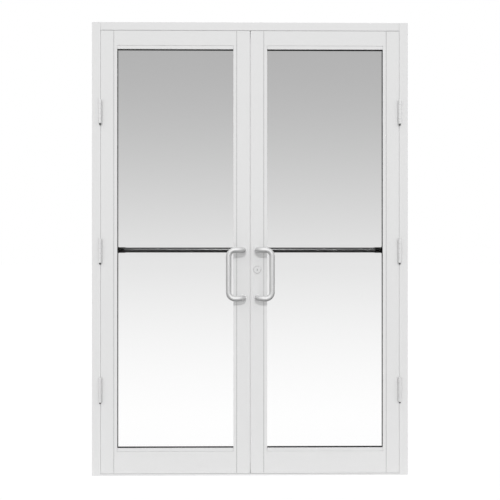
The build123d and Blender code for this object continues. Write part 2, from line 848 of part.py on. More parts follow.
# Flush bolts: a slotted face on a channel, and a slide whose rod leaves the leaf's end
plate_back = -(leaf_inner + faceplate_thickness)
housing_back = -(leaf_inner + housing_depth)
thumb_slot = thumb_height + flush_travel + 2 * slide_clearance
for end, end_z, way in flush_ends:
    middle = end_z - way * flush_reach
    with BuildPart() as housing:
        block(
            (-leaf_inner, leaf_mid - faceplate_width / 2, middle - flush_plate_height / 2),
            (plate_back, leaf_mid + faceplate_width / 2, middle + flush_plate_height / 2),
        )
        block(
            (plate_back, leaf_mid - housing_width / 2, middle - housing_height / 2),
            (housing_back, leaf_mid + housing_width / 2, middle + housing_height / 2),
        )
        hollow = housing_height / 2 - housing_wall
        block(
            (plate_back, leaf_mid - housing_width / 2 + housing_wall, middle - hollow),
            (housing_back + housing_wall, leaf_mid + housing_width / 2 - housing_wall, middle + hollow),
            mode=Mode.SUBTRACT,
        )
        edge_cut(-1, leaf_wall, thumb_width + 2 * slide_clearance, middle, thumb_slot)
        rod_spot = [(rod_x, leaf_mid)]
        rod_way = sorted((middle, middle + way * housing_height))
        round_z(rod_spot, rod_radius + rod_clearance, *rod_way, mode=Mode.SUBTRACT)
        block(
            (-edge_inside, face_y + leaf_wall, end_z - way * guide_thickness),
            (leaf_wall - meeting_stile_inner, leaf_back - leaf_wall, end_z),
        )
        guide_way = sorted((end_z - way * (guide_thickness + cut_overrun), end_z + way * cut_overrun))
        round_z(rod_spot, rod_radius + rod_clearance, *guide_way, mode=Mode.SUBTRACT)
    save(housing, f"{end}_flush_bolt_housing")

    slide_middle = middle - way * flush_travel / 2
    slide_half = housing_width / 2 - housing_wall - slide_clearance
    with BuildPart() as flush_bolt:
        block(
            (plate_back - slide_clearance, leaf_mid - slide_half, slide_middle - slide_height / 2),
            (
                housing_back + housing_wall + slide_clearance,
                leaf_mid + slide_half,
                slide_middle + slide_height / 2,
            ),
        )
        block(
            (-leaf_inner, leaf_mid - thumb_width / 2, slide_middle - thumb_height / 2),
            (plate_back - slide_clearance, leaf_mid + thumb_width / 2, slide_middle + thumb_height / 2),
        )
        round_z(rod_spot, rod_radius, *sorted((slide_middle, end_z - way * rod_recess)))
    save(flush_bolt, f"{end}_flush_bolt")
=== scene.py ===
"""Finish a glazed double door in its frame: surfaces, smooth hardware, seals, screws, light and camera.

Lengths are metres in the frame's own axes: X runs along the width, -Y is outside and +Z is up.
"""

import logging
import math
from abc import ABC, abstractmethod
from collections.abc import Sequence
from dataclasses import dataclass
from enum import Enum
from typing import Any

import bmesh
import bpy
import numpy as np
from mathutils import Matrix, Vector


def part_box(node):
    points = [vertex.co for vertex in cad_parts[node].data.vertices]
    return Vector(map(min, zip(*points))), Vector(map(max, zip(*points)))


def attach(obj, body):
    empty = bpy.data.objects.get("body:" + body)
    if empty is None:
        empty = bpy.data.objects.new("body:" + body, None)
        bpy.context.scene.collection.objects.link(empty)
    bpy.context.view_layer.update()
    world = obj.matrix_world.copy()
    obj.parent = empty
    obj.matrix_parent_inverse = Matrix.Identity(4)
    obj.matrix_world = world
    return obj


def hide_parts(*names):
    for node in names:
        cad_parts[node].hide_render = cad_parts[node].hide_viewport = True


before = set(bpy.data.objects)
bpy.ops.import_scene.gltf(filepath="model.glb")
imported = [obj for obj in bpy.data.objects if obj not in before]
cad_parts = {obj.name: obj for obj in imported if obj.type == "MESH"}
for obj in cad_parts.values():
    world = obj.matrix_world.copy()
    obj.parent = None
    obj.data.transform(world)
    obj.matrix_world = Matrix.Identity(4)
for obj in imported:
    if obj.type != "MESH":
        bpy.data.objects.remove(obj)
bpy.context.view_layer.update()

Array = np.ndarray
MM = 0.001
MERGE = 0.001 * MM
FAINT = 1e-6
CREASE = math.radians(35.0)
CORNER_STEPS = 5
EDGE_STEPS = 3
SHOULDER_STEPS = 6
BAND_SPANS = 8
CROSS_BAR = 0.3
log = logging.getLogger("glazed_door")


class Hand(Enum):
    """The two leaves, by the side of mid width that they hang on."""

    LEFT = -1
    RIGHT = 1

    @property
    def word(self) -> str:
        """Give the side as a word."""
        return self.name.lower()

    @property
    def leaf(self) -> str:
        """Give the name of the leaf's body."""
        return f"{self.word}_leaf"

    def node(self, piece: str) -> str:
        """Give the name of this side's node for a piece."""
        return f"{self.word}_{piece}"


class Axis(Enum):
    """An axis with the two directions across it, so that the three are right handed."""

    X = ((1, 0, 0), (0, 1, 0), (0, 0, 1))
    Y = ((0, 1, 0), (0, 0, 1), (1, 0, 0))
    Z = ((0, 0, 1), (1, 0, 0), (0, 1, 0))

    @property
    def basis(self) -> Array:
        """Give the axis and the two directions across it as rows."""
        return np.array(self.value, float)

    @property
    def way(self) -> Array:
        """Give the axis's own direction."""
        return self.basis[0]


class Value:
    """A socket that carries a number, with Python's operators written as Math nodes."""

    def __init__(self, tree: "NodeTree", socket: bpy.types.NodeSocket) -> None:
        """Wrap a socket of a tree."""
        self.tree = tree
        self.socket = socket

    def _math(self, operation: str, other: Any) -> "Value":
        """Add a Math node for this number and another number or socket."""
        return self.tree.add("ShaderNodeMath", {"operation": operation}, {0: self, 1: other})

    def __add__(self, other: Any) -> "Value":
        """Add."""
        return self._math("ADD", other)

    def __sub__(self, other: Any) -> "Value":
        """Subtract."""
        return self._math("SUBTRACT", other)

    def __mul__(self, other: Any) -> "Value":
        """Multiply."""
        return self._math("MULTIPLY", other)

    def __abs__(self) -> "Value":
        """Give the size without its sign."""
        return self._math("ABSOLUTE", 0.0)

    def most(self, other: Any) -> "Value":
        """Give the larger of two."""
        return self._math("MAXIMUM", other)

    def _ramp(self, kind: str, low: float, high: float) -> "Value":
        """Rise from 0 at low to 1 at high, and stay there."""
        settings = {"interpolation_type": kind, "clamp": True}
        return self.tree.add("ShaderNodeMapRange", settings, {0: self, 1: low, 2: high})

    def eased(self, low: float, high: float) -> "Value":
        """Rise smoothly from 0 at low to 1 at high."""
        return self._ramp("SMOOTHSTEP", low, high)

    def spread(self, low: float, high: float) -> "Value":
        """Rise in a straight line from 0 at low to 1 at high."""
        return self._ramp("LINEAR", low, high)


class NodeTree:
    """A node tree that is written from Python expressions."""

    def __init__(self, tree: bpy.types.NodeTree) -> None:
        """Take over a tree and empty it."""
        self.tree = tree
        tree.nodes.clear()

    def add(self, kind: str, settings: dict[str, Any], sockets: dict[Any, Any], output: Any = 0) -> Value:
        """Add a node.

        Args:
            kind: The node's type.
            settings: Properties, which are set first.
            sockets: Input names or numbers, with a value or a link for each.
            output: The name or number of the output that is wanted.

        Returns:
            That output.
        """
        node = self.tree.nodes.new(kind)
        for name, setting in settings.items():
            setattr(node, name, setting)
        for name, entry in sockets.items():
            if isinstance(entry, Value):
                self.tree.links.new(entry.socket, node.inputs[name])
            else:
                node.inputs[name].default_value = entry
        return Value(self, node.outputs[output])

    def close(self, kind: str, shader: Value) -> None:
        """Lead a shader to a new output node."""
        output = self.tree.nodes.new(kind)
        self.tree.links.new(shader.socket, output.inputs["Surface"])

    def coordinates(self, kind: str = "Object") -> Value:
        """Give the texture coordinates of one kind."""
        return self.add("ShaderNodeTexCoord", {}, {}, kind)

    def ray(self, kind: str) -> Value:
        """Give one fact about the ray that is traced."""
        return self.add("ShaderNodeLightPath", {}, {}, kind)

    def part(self, vector: Value, axis: str) -> Value:
        """Give one component of a vector."""
        return self.add("ShaderNodeSeparateXYZ", {}, {0: vector}, axis)

    def noise(self, vector: Value, scale: float, detail: float = 2.0) -> Value:
        """Give a cloudy pattern between 0 and 1."""
        sockets = {"Vector": vector, "Scale": scale, "Detail": detail}
        return self.add("ShaderNodeTexNoise", {"noise_dimensions": "3D"}, sockets)

    def streaks(self, source: str, scale: Sequence[float]) -> Value:
        """Give a cloudy pattern that is scaled on its own along each axis.

        Args:
            source: Kind of texture coordinates.
            scale: Scale along each axis.

        Returns:
            The pattern, between 0 and 1.
        """
        sockets = {0: self.coordinates(source), 1: tuple(scale)}
        stretched = self.add("ShaderNodeVectorMath", {"operation": "MULTIPLY"}, sockets)
        return self.noise(stretched, scale=1.0, detail=3.0)

    def mixed(self, share: Value, first: Value | float, second: Value | float) -> Value:
        """Mix two colours by a share, where a number stands for a grey."""
        start, end = (entry if isinstance(entry, Value) else grey(entry) for entry in (first, second))
        return self.add("ShaderNodeMix", {"data_type": "RGBA"}, {0: share, 6: start, 7: end}, 2)

    def bump(self, height: Value, distance: float, strength: float) -> Value:
        """Turn a height pattern into a normal."""
        sockets = {"Strength": strength, "Distance": distance, "Height": height}
        return self.add("ShaderNodeBump", {}, sockets)

    def principled(self, sockets: dict[str, Any]) -> Value:
        """Give the shader of a plain surface."""
        return self.add("ShaderNodeBsdfPrincipled", {}, sockets)


def grey(level: float) -> tuple[float, float, float, float]:
    """Give a neutral colour."""
    return (level, level, level, 1.0)


@dataclass(frozen=True)
class Finish(ABC):
    """A surface finish that lays itself out as one material."""

    title: str
    slot: str

    @abstractmethod
    def lay(self, tree: NodeTree) -> Value:
        """Write the finish into a tree.

        Args:
            tree: The material's empty tree.

        Returns:
            The finish's shader.
        """

    def material(self) -> bpy.types.Material:
        """Make the material, or find the one that was made before.

        Returns:
            The material with this finish's title.
        """
        made = bpy.data.materials.get(self.title)
        if made is not None:
            return made
        made = bpy.data.materials.new(self.title)
        made.use_nodes = True
        tree = NodeTree(made.node_tree)
        tree.close("ShaderNodeOutputMaterial", self.lay(tree))
        return made


@dataclass(frozen=True)
class PowderCoat(Finish):
    """Baked powder paint: even, softly glossy, with a fine orange peel."""

    tone: float = 0.76
    unevenness: float = 0.008
    cloud_scale: float = 2.5
    peel_scale: float = 900.0
    peel_depth: float = 0.00012
    peel_strength: float = 0.25
    sheen_low: float = 0.46
    sheen_spread: float = 0.10
    specular: float = 0.12

    def lay(self, tree: NodeTree) -> Value:
        """Write faint clouds of tone, and a peel that moves gloss and normal.

        Args:
            tree: The material's empty tree.

        Returns:
            The finish's shader.
        """
        place = tree.coordinates()
        clouds = tree.noise(place, self.cloud_scale)
        peel = tree.noise(place, self.peel_scale, detail=1.0)
        return tree.principled(
            {
                "Base Color": tree.mixed(clouds, self.tone - self.unevenness, self.tone + self.unevenness),
                "Roughness": peel * self.sheen_spread + self.sheen_low,
                "Specular IOR Level": self.specular,
                "Normal": tree.bump(peel, self.peel_depth, self.peel_strength),
            }
        )


@dataclass(frozen=True)
class DrawnMetal(Finish):
    """Metal with a fine drawn grain that follows a piece's own UV map or one axis."""

    tone: float = 0.75
    contrast: float = 0.05
    metallic: float = 1.0
    rough: float = 0.28
    rough_spread: float = 0.12
    source: str = "Object"
    grain: tuple[float, float, float] = (40.0, 2500.0, 2500.0)
    grain_depth: float = 0.00003
    grain_strength: float = 0.3
    smudge_scale: float = 14.0
    smudge_gloss: float = 0.05

    def lay(self, tree: NodeTree) -> Value:
        """Write the grain as a stretched noise in tone, gloss and normal.

        Args:
            tree: The material's empty tree.

        Returns:
            The finish's shader.
        """
        lines = tree.streaks(self.source, self.grain)
        smudge = tree.noise(tree.coordinates(), self.smudge_scale)
        return tree.principled(
            {
                "Base Color": tree.mixed(lines, self.tone - self.contrast, self.tone + self.contrast),
                "Metallic": self.metallic,
                "Roughness": lines * self.rough_spread + smudge * self.smudge_gloss + self.rough,
                "Normal": tree.bump(lines, self.grain_depth, self.grain_strength),
            }
        )


@dataclass(frozen=True)
class Rubber(Finish):
    """Extruded rubber: matt, with a dusty bloom and a fine skin."""

    tone: float = 0.006
    bloom: float = 0.011
    bloom_scale: float = 35.0
    bloom_gloss: float = 0.15
    rough: float = 0.62
    specular: float = 0.15
    skin_scale: float = 1200.0
    skin_depth: float = 0.00008
    skin_strength: float = 0.3

    def lay(self, tree: NodeTree) -> Value:
        """Write the bloom as clouds, and the skin as a fine bump.

        Args:
            tree: The material's empty tree.

        Returns:
            The finish's shader.
        """
        place = tree.coordinates()
        clouds = tree.noise(place, self.bloom_scale, detail=3.0)
        skin = tree.noise(place, self.skin_scale)
        return tree.principled(
            {
                "Base Color": tree.mixed(clouds, self.tone, self.bloom),
                "Roughness": clouds * self.bloom_gloss + self.rough,
                "Specular IOR Level": self.specular,
                "Normal": tree.bump(skin, self.skin_depth, self.skin_strength),
            }
        )


@dataclass(frozen=True)
class Pile(Finish):
    """Woven pile: pale fibres that stand out from the edge in bundles."""

    tone: float = 0.70
    tip: float = 0.90
    bundle: tuple[float, float, float] = (150.0, 900.0, 1400.0)
    rough: float = 0.9
    specular: float = 0.1
    fuzz: float = 0.3
    fibre_depth: float = 0.0004
    fibre_strength: float = 0.6

    def lay(self, tree: NodeTree) -> Value:
        """Write the fibres as a noise that is fine along the edge and long across it.

        Args:
            tree: The material's empty tree.

        Returns:
            The finish's shader.
        """
        fibres = tree.streaks("Object", self.bundle)
        return tree.principled(
            {
                "Base Color": tree.mixed(fibres, self.tone, self.tip),
                "Roughness": self.rough,
                "Specular IOR Level": self.specular,
                "Sheen Weight": self.fuzz,
                "Normal": tree.bump(fibres, self.fibre_depth, self.fibre_strength),
            }
        )


@dataclass(frozen=True)
class PaintedShadeGlass(Finish):
    """Float glass that is clear below, with painted shade that greys it towards its top."""

    foot: float = 0.267
    head: float = 2.056
    straight: float = 0.3
    clear: float = 1.0
    shade: float = 0.448
    polish: float = 0.0
    index: float = 1.5
    gleam: float = 0.12

    def lay(self, tree: NodeTree) -> Value:
        """Write the painted shade by height, partly straight and partly eased, and let lamps through.

        Args:
            tree: The material's empty tree.

        Returns:
            The finish's shader.
        """
        height = tree.part(tree.coordinates(), "Z")
        ends = (self.foot, self.head)
        # Painted shade: the pane's colour goes from clear at the foot to grey at the head.
        share = height.spread(*ends) * self.straight + height.eased(*ends) * (1.0 - self.straight)
        pane = tree.principled(
            {
                "Base Color": tree.mixed(share, self.clear, self.shade),
                "Roughness": self.polish,
                "IOR": self.index,
                "Specular Tint": grey(self.gleam),
                "Transmission Weight": 1.0,
            }
        )
        opened = tree.add("ShaderNodeBsdfTransparent", {}, {})
        return tree.add("ShaderNodeMixShader", {}, {0: tree.ray("Is Shadow Ray"), 1: pane, 2: opened})


ALONG_BAR = (60.0, 2500.0, 1.0)

PAINT = PowderCoat("powder_coat", "paint")
MILL = DrawnMetal("mill_aluminium", "mill", tone=0.72, rough=0.36, grain=(12.0, 1800.0, 1800.0))
# The glass's grey towards its top is painted shade.
GLASS = PaintedShadeGlass("glass_painted_shade", "glass")
GASKET = Rubber("black_rubber", "rubber")
BULB = Rubber("grey_rubber", "seal", tone=0.22, bloom=0.28)
PILE = Pile("pale_pile", "pile")
HINGE = DrawnMetal(
    "hinge_satin", "hinge", tone=0.80, metallic=0.35, rough=0.62, source="UV", grain=(3000.0, 60.0, 1.0)
)
SATIN = DrawnMetal("pull_satin", "satin", tone=0.84, rough=0.60, source="UV", grain=ALONG_BAR)
TURNED = DrawnMetal(
    "turned_satin", "satin", tone=0.76, metallic=0.7, rough=0.46, source="UV", grain=(5000.0, 80.0, 1.0)
)
PLATE = DrawnMetal("plate_satin", "satin", tone=0.72, rough=0.34, grain=(2200.0, 2200.0, 40.0))
DARK = DrawnMetal(
    "dark_anodised", "dark", tone=0.13, contrast=0.015, rough=0.25, rough_spread=0.04, source="UV",
    grain=(50.0, 2500.0, 1.0), grain_depth=0.000006,
)
BLACK = Rubber("black_nylon", "dark", tone=0.004, bloom=0.008, rough=0.42)
# Grey strips in the stile joints: painted shade in the grooves.
JOINT_SHADE = Rubber("joint_painted_shade", "seal", tone=0.28, bloom=0.34, rough=0.7)
# Dark steel for the hinge pins' shanks and the keyway's walls: its darkness is painted shade, deepening the
# barrels' real shadow on the pin tips and standing in for the shade inside the keyway.
STEEL_WITH_PAINTED_SHADE = DrawnMetal("steel_painted_shade", "hinge", tone=0.16, contrast=0.03, rough=0.40, source="UV", grain=ALONG_BAR)


def placed(name: str, content: bpy.types.ID) -> bpy.types.Object:
    """Make an object at the origin and link it to the scene.

    Args:
        name: Name of the object.
        content: Its mesh, light or camera.

    Returns:
        The object.
    """
    made = bpy.data.objects.new(name, content)
    bpy.context.scene.collection.objects.link(made)
    return made


def carry(piece: bpy.types.Object, body: str, nodes: Sequence[str]) -> None:
    """Let a piece ride on its body and stand for its nodes.

    Args:
        piece: The finished piece.
        body: Body that carries it.
        nodes: Nodes that the piece stands for.
    """
    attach(piece, body)
    if nodes:
        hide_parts(*nodes)
    log.info("%s rides on %s: %d faces", piece.name, body, len(piece.data.polygons))


class Skin:
    """A mesh in the making: grids and caps that share one list of points."""

    def __init__(self) -> None:
        """Start with no points."""
        self.points: list[Array] = []
        self.faces: list[list[int]] = []
        self.maps: list[Array] = []
        self.finishes: list[int] = []
        self.count = 0

    def _keep(self, points: Array) -> Array:
        """Store points.

        Args:
            points: Points in any layout, three numbers each.

        Returns:
            The points' numbers in the same layout.
        """
        numbers = self.count + np.arange(points[..., 0].size).reshape(points.shape[:-1])
        self.points.append(points.reshape(-1, 3))
        self.count += numbers.size
        return numbers

    def grid(self, points: Array, looped: bool = False, finish: int = 0) -> Array:
        """Add a grid of quads: rows along a path, columns round a section whose last joins the first.

        Args:
            points: Rows by columns by three.
            looped: Whether the last row joins the first.
            finish: Number of the finish that the quads take.

        Returns:
            The numbers of the grid's points.
        """
        numbers = self._keep(points)
        net, cloth = (np.concatenate([part, part[:, :1]], axis=1) for part in (numbers, points))
        if looped:
            net, cloth = (np.concatenate([part, part[:1]]) for part in (net, cloth))
        u = np.linalg.norm(np.diff(cloth, axis=0), axis=-1).mean(axis=1)
        v = np.linalg.norm(np.diff(cloth, axis=1), axis=-1).mean(axis=0)
        u, v = (np.concatenate([[0.0], np.cumsum(steps)]) for steps in (u, v))
        chart = np.stack(np.meshgrid(u, v, indexing="ij"), axis=-1)
        quads = np.stack([net[:-1, :-1], net[:-1, 1:], net[1:, 1:], net[1:, :-1]], axis=-1)
        corners = np.stack([chart[:-1, :-1], chart[:-1, 1:], chart[1:, 1:], chart[1:, :-1]], axis=-2)
        self.faces += quads.reshape(-1, 4).tolist()
        self.maps.append(corners.reshape(-1, 2))
        self.finishes += [finish] * (quads.size // 4)
        return numbers

    def cap(self, ring: Array, centre: Array, finish: int = 0) -> None:
        """Close a ring of points with a fan around a centre.

        Args:
            ring: Numbers of the ring's points.
            centre: The fan's middle point.
            finish: Number of the finish that the fan takes.
        """
        middle = self._keep(np.asarray(centre, float)[None, :])[0]
        fan = np.stack([np.full_like(ring, middle), ring, np.roll(ring, -1)], axis=-1)
        stored = np.concatenate(self.points)
        flat = stored[fan] - stored[middle]
        spread = np.linalg.norm(flat, axis=-1)
        self.faces += fan.tolist()
        self.maps.append(np.stack([spread, flat.sum(axis=-1)], axis=-1).reshape(-1, 2))
        self.finishes += [finish] * len(fan)

    def solid(self, points: Array, finish: int = 0) -> None:
        """Add a grid and close its first and last rows with caps.

        Args:
            points: Rows by columns by three.
            finish: Number of the finish that the surface takes.
        """
        numbers = self.grid(points, finish=finish)
        for row in (0, -1):
            self.cap(numbers[row], points[row].mean(axis=0), finish)

    def settle(self, name: str, body: str, finishes: Sequence[Finish], *nodes: str) -> None:
        """Make the object, with its edges past the crease angle left sharp, and let its body carry it.

        Args:
            name: Name of the piece.
            body: Body that carries it.
            finishes: The finishes, in the order of their numbers; the first names the slot.
            nodes: Nodes that the piece stands for.
        """
        mesh = bpy.data.meshes.new(name)
        mesh.from_pydata(np.concatenate(self.points), [], self.faces)
        chart = mesh.uv_layers.new(name="grain")
        chart.data.foreach_set("uv", np.concatenate(self.maps).astype(np.float32).ravel())
        for finish in finishes:
            mesh.materials.append(finish.material())
        mesh.polygons.foreach_set("material_index", np.array(self.finishes, np.int32))
        work = bmesh.new()
        work.from_mesh(mesh)
        bmesh.ops.remove_doubles(work, verts=work.verts, dist=MERGE)
        bmesh.ops.recalc_face_normals(work, faces=work.faces)
        work.to_mesh(mesh)
        work.free()
        mesh.shade_smooth()
        mesh.set_sharp_from_angle(angle=CREASE)
        carry(placed(name, mesh), body, nodes)


def circle(steps: int) -> Array:
    """Give angles evenly round a circle."""
    return np.linspace(0.0, 2.0 * math.pi, steps, endpoint=False)


def quarter(steps: int) -> Array:
    """Give angles over a quarter turn, both ends included."""
    return np.linspace(0.0, math.pi / 2.0, steps + 1)


def spokes(axis: Axis, angles: Array) -> Array:
    """Give the directions across an axis at some angles: cos a, sin a."""
    _, first, second = axis.basis
    return np.cos(angles)[:, None] * first + np.sin(angles)[:, None] * second


def oblong(angles: Array, along: float, across: float) -> Array:
    """Give a rectangle's outline as a radius at each angle, from its half sizes."""
    cosine, sine = (np.maximum(np.abs(wave), FAINT) for wave in (np.cos(angles), np.sin(angles)))
    return np.minimum(along / cosine, across / sine)


def turned(
    skin: Skin, centre: Array, axis: Axis, profile: Array, steps: int, finish: int = 0, looped: bool = False
) -> None:
    """Revolve a profile: point = centre + along * axis + radius * spoke.

    Args:
        skin: Mesh that takes the surface.
        centre: Point on the axis where along is 0.
        axis: Axis of revolution.
        profile: Rows of radius and distance along the axis.
        steps: Columns round the axis.
        finish: Number of the finish.
        looped: Whether the last row joins the first, as in a tube's wall; if not, flat ends close it.
    """
    radius, along = (profile[:, column, None, None] for column in (0, 1))
    points = centre + along * axis.way + radius * spokes(axis, circle(steps))
    if looped:
        skin.grid(points, looped=True, finish=finish)
    else:
        skin.solid(points, finish)


def bent_path(corners: Sequence[Sequence[float]], radius: float, steps: int) -> Array:
    """Give a path of straight runs whose corners are round: each arc is tangent to both of its runs.

    Args:
        corners: The path's ends and corners.
        radius: Radius of the arcs.
        steps: Spans of each arc.

    Returns:
        Points along the path.
    """
    spots = np.array(corners, float)
    runs = np.diff(spots, axis=0)
    ways = runs / np.linalg.norm(runs, axis=1)[:, None]
    stretches = [spots[:1]]
    for corner, before, after in zip(spots[1:-1], ways[:-1], ways[1:]):
        turn = math.acos(float(np.clip(before @ after, -1.0, 1.0)))
        reach = radius * math.tan(turn / 2.0)
        inward = (after - before) / np.linalg.norm(after - before)
        middle = corner + inward * radius / math.cos(turn / 2.0)
        angle = np.linspace(0.0, turn, steps + 1)[:, None]
        start = corner - before * reach - middle
        stretches.append(middle + start * np.cos(angle) + before * radius * np.sin(angle))
    return np.concatenate([*stretches, spots[-1:]])


def swept(skin: Skin, path: Array, radius: float, steps: int) -> None:
    """Carry a circle along a path: each ring lies across the path's tangent.

    Args:
        skin: Mesh that takes the surface.
        path: Points along the path.
        radius: Radius of the circle.
        steps: Columns round the path.
    """
    runs = np.diff(path, axis=0)
    runs /= np.linalg.norm(runs, axis=1)[:, None]
    tangent = np.concatenate([runs[:1], runs[:-1] + runs[1:], runs[-1:]])
    tangent /= np.linalg.norm(tangent, axis=1)[:, None]
    first = np.cross(tangent, np.ones(3))
    first /= np.linalg.norm(first, axis=1)[:, None]
    second = np.cross(tangent, first)
    angles = circle(steps)[None, :, None]
    rings = np.cos(angles) * first[:, None] + np.sin(angles) * second[:, None]
    skin.solid(path[:, None] + radius * rings)


def rounded_outline(width: float, height: float, radius: float, inset: float) -> Array:
    """Give a rectangle with round corners: corner centre + (radius - inset) * direction.

    Args:
        width: Size across.
        height: Size up.
        radius: Corner radius.
        inset: How far the outline is drawn in, up to the radius.

    Returns:
        Points round the outline, anticlockwise.
    """
    angles = quarter(CORNER_STEPS)[None, :] + np.arange(4)[:, None] * math.pi / 2.0
    signs = np.array([[1, 1], [-1, 1], [-1, -1], [1, -1]], float)
    centres = signs * (np.array([width, height]) / 2.0 - radius)
    reach = max(radius - inset, MERGE)
    arcs = centres[:, None] + reach * np.stack([np.cos(angles), np.sin(angles)], axis=-1)
    return arcs.reshape(-1, 2)


def slab(skin: Skin, centre: Array, axis: Axis, size: Sequence[float], corner: float, ease: float) -> None:
    """Make a plate with round corners: outlines stacked along the axis, drawn in at both faces.

    Args:
        skin: Mesh that takes the plate.
        centre: Middle of the plate.
        axis: Axis across the plate.
        size: Thickness along the axis, then the two sizes across it.
        corner: Radius of the corners.
        ease: Radius of the edges.
    """
    thickness, width, height = size
    line, first, second = axis.basis
    bend = quarter(EDGE_STEPS)
    insets = np.concatenate([ease * (1.0 - np.sin(bend)), ease * (1.0 - np.cos(bend))])
    depths = np.concatenate([ease * (1.0 - np.cos(bend)), thickness - ease * (1.0 - np.sin(bend))])
    outlines = np.stack([rounded_outline(width, height, corner, inset) for inset in insets])
    flat = outlines[..., :1] * first + outlines[..., 1:] * second
    skin.solid(centre + (depths - thickness / 2.0)[:, None, None] * line + flat)


def box_between(skin: Skin, low: Sequence[float], high: Sequence[float], ease: float) -> None:
    """Make a block between two corners, with eased edges."""
    low, high = np.array(low), np.array(high)
    slab(skin, (low + high) / 2.0, Axis.X, high - low, ease, ease)


def tube_wall(inner: float, outer: float, length: float, ease: float) -> Array:
    """Give a tube's wall outline: four corners, the outer two eased by a bevel.

    Args:
        inner: Inside radius.
        outer: Outside radius.
        length: Length along the axis.
        ease: Size of the bevels.

    Returns:
        Rows of radius and distance along the axis.
    """
    return np.array(
        [
            (inner, 0.0), (outer - ease, 0.0), (outer, ease),
            (outer, length - ease), (outer - ease, length), (inner, length),
        ]
    )


class Recess(Enum):
    """The drive in a screw's head."""

    CROSS = "cross"
    HEX = "hex"

    def radii(self, angles: Array, size: float) -> Array:
        """Give the recess's outline as a radius at each angle.

        Args:
            angles: Angles round the head.
            size: Reach of the recess.

        Returns:
            The longer of two crossed bars for a cross, the nearest of six flats for a hexagon.
        """
        if self is Recess.HEX:
            sector = math.pi / 3.0
            return size * math.cos(sector / 2.0) / np.cos(np.mod(angles, sector) - sector / 2.0)
        half = size * CROSS_BAR
        return np.maximum(oblong(angles, size, half), oblong(angles, half, size))


@dataclass(frozen=True)
class ScrewHead:
    """A screw's head: how wide it is, how far it stands proud and how deep its drive goes."""

    radius: float
    rise: float
    sink: float
    drive: float
    depth: float
    recess: Recess = Recess.CROSS
    crown: tuple[tuple[float, float], ...] = ((1.0, 0.0), (0.97, 0.35), (0.8, 0.8))
    foot: float = 0.5
    floor: float = 0.85
    steps: int = 48

    def build(self, skin: Skin, seat: Array, out: Array, finish: int = 0) -> None:
        """Add the head: rings from its buried foot over a dome to the drive's rim and floor.

        Args:
            skin: Mesh that takes the head.
            seat: Point of the surface that the head sits in.
            out: Direction out of the surface, along one axis.
            finish: Number of the finish.
        """
        axis = list(Axis)[int(np.argmax(np.abs(out)))]
        angles = circle(self.steps)
        drive = self.recess.radii(angles, self.drive)
        ring = np.full(self.steps, self.radius)
        dome = [ring * share for share, _ in self.crown]
        radii = np.stack([ring * self.foot, *dome, drive, drive * self.floor])
        levels = [self.rise * share for _, share in self.crown]
        heights = np.array([-self.sink, *levels, self.rise, self.rise - self.depth])
        skin.solid(seat + heights[:, None, None] * out + radii[..., None] * spokes(axis, angles), finish)


OVAL = ScrewHead(radius=3.6 * MM, rise=0.9 * MM, sink=0.5 * MM, drive=2.0 * MM, depth=0.7 * MM)
FLUSH = ScrewHead(radius=4.7 * MM, rise=-0.05 * MM, sink=2.0 * MM, drive=2.6 * MM, depth=1.3 * MM)
SOCKET = ScrewHead(
    radius=8.0 * MM, rise=4.5 * MM, sink=0.5 * MM, drive=3.5 * MM, depth=2.8 * MM, recess=Recess.HEX,
    crown=((1.0, 0.0), (1.0, 0.8), (0.97, 0.95), (0.92, 1.0)),
)


def button(radius: float, height: float, ease: float) -> Array:
    """Give a button's profile: a straight edge, then a quarter-round shoulder.

    Args:
        radius: Radius of the button.
        height: Height of the button.
        ease: Radius of the shoulder.

    Returns:
        Rows of radius and height, from the foot up.
    """
    bend = quarter(SHOULDER_STEPS)
    drawn_in, dropped = ease * (1.0 - np.cos(bend)), ease * (1.0 - np.sin(bend))
    return np.concatenate([[(radius, 0.0)], np.stack([radius - drawn_in, height - dropped], axis=-1)])


def extruded(skin: Skin, outline: Array, origin: Array, ways: Array, run: Array) -> None:
    """Carry a flat outline along a straight run: point = origin + a * way 1 + b * way 2, then + run.

    Args:
        skin: Mesh that takes the surface.
        outline: Rows of the two distances a and b.
        origin: Place of the outline's zero.
        ways: The directions of the two distances, as rows.
        run: The way from one end to the other.
    """
    near = origin + outline @ ways
    skin.solid(np.stack([near, near + run]))


def rim(low: Sequence[float], high: Sequence[float], counts: tuple[int, int]) -> Array:
    """Give points evenly along a rectangle's four sides, anticlockwise.

    Args:
        low: Lower corner.
        high: Upper corner.
        counts: Spans along the first and the second direction.

    Returns:
        The points, each corner once.
    """
    across, up = (np.linspace(start, end, count + 1) for start, end, count in zip(low, high, counts))
    sides = (
        (across[:-1], np.full(counts[0], low[1])), (np.full(counts[1], high[0]), up[:-1]),
        (across[:0:-1], np.full(counts[0], high[1])), (np.full(counts[1], low[0]), up[:0:-1]),
    )
    return np.concatenate([np.stack(side, axis=-1) for side in sides])


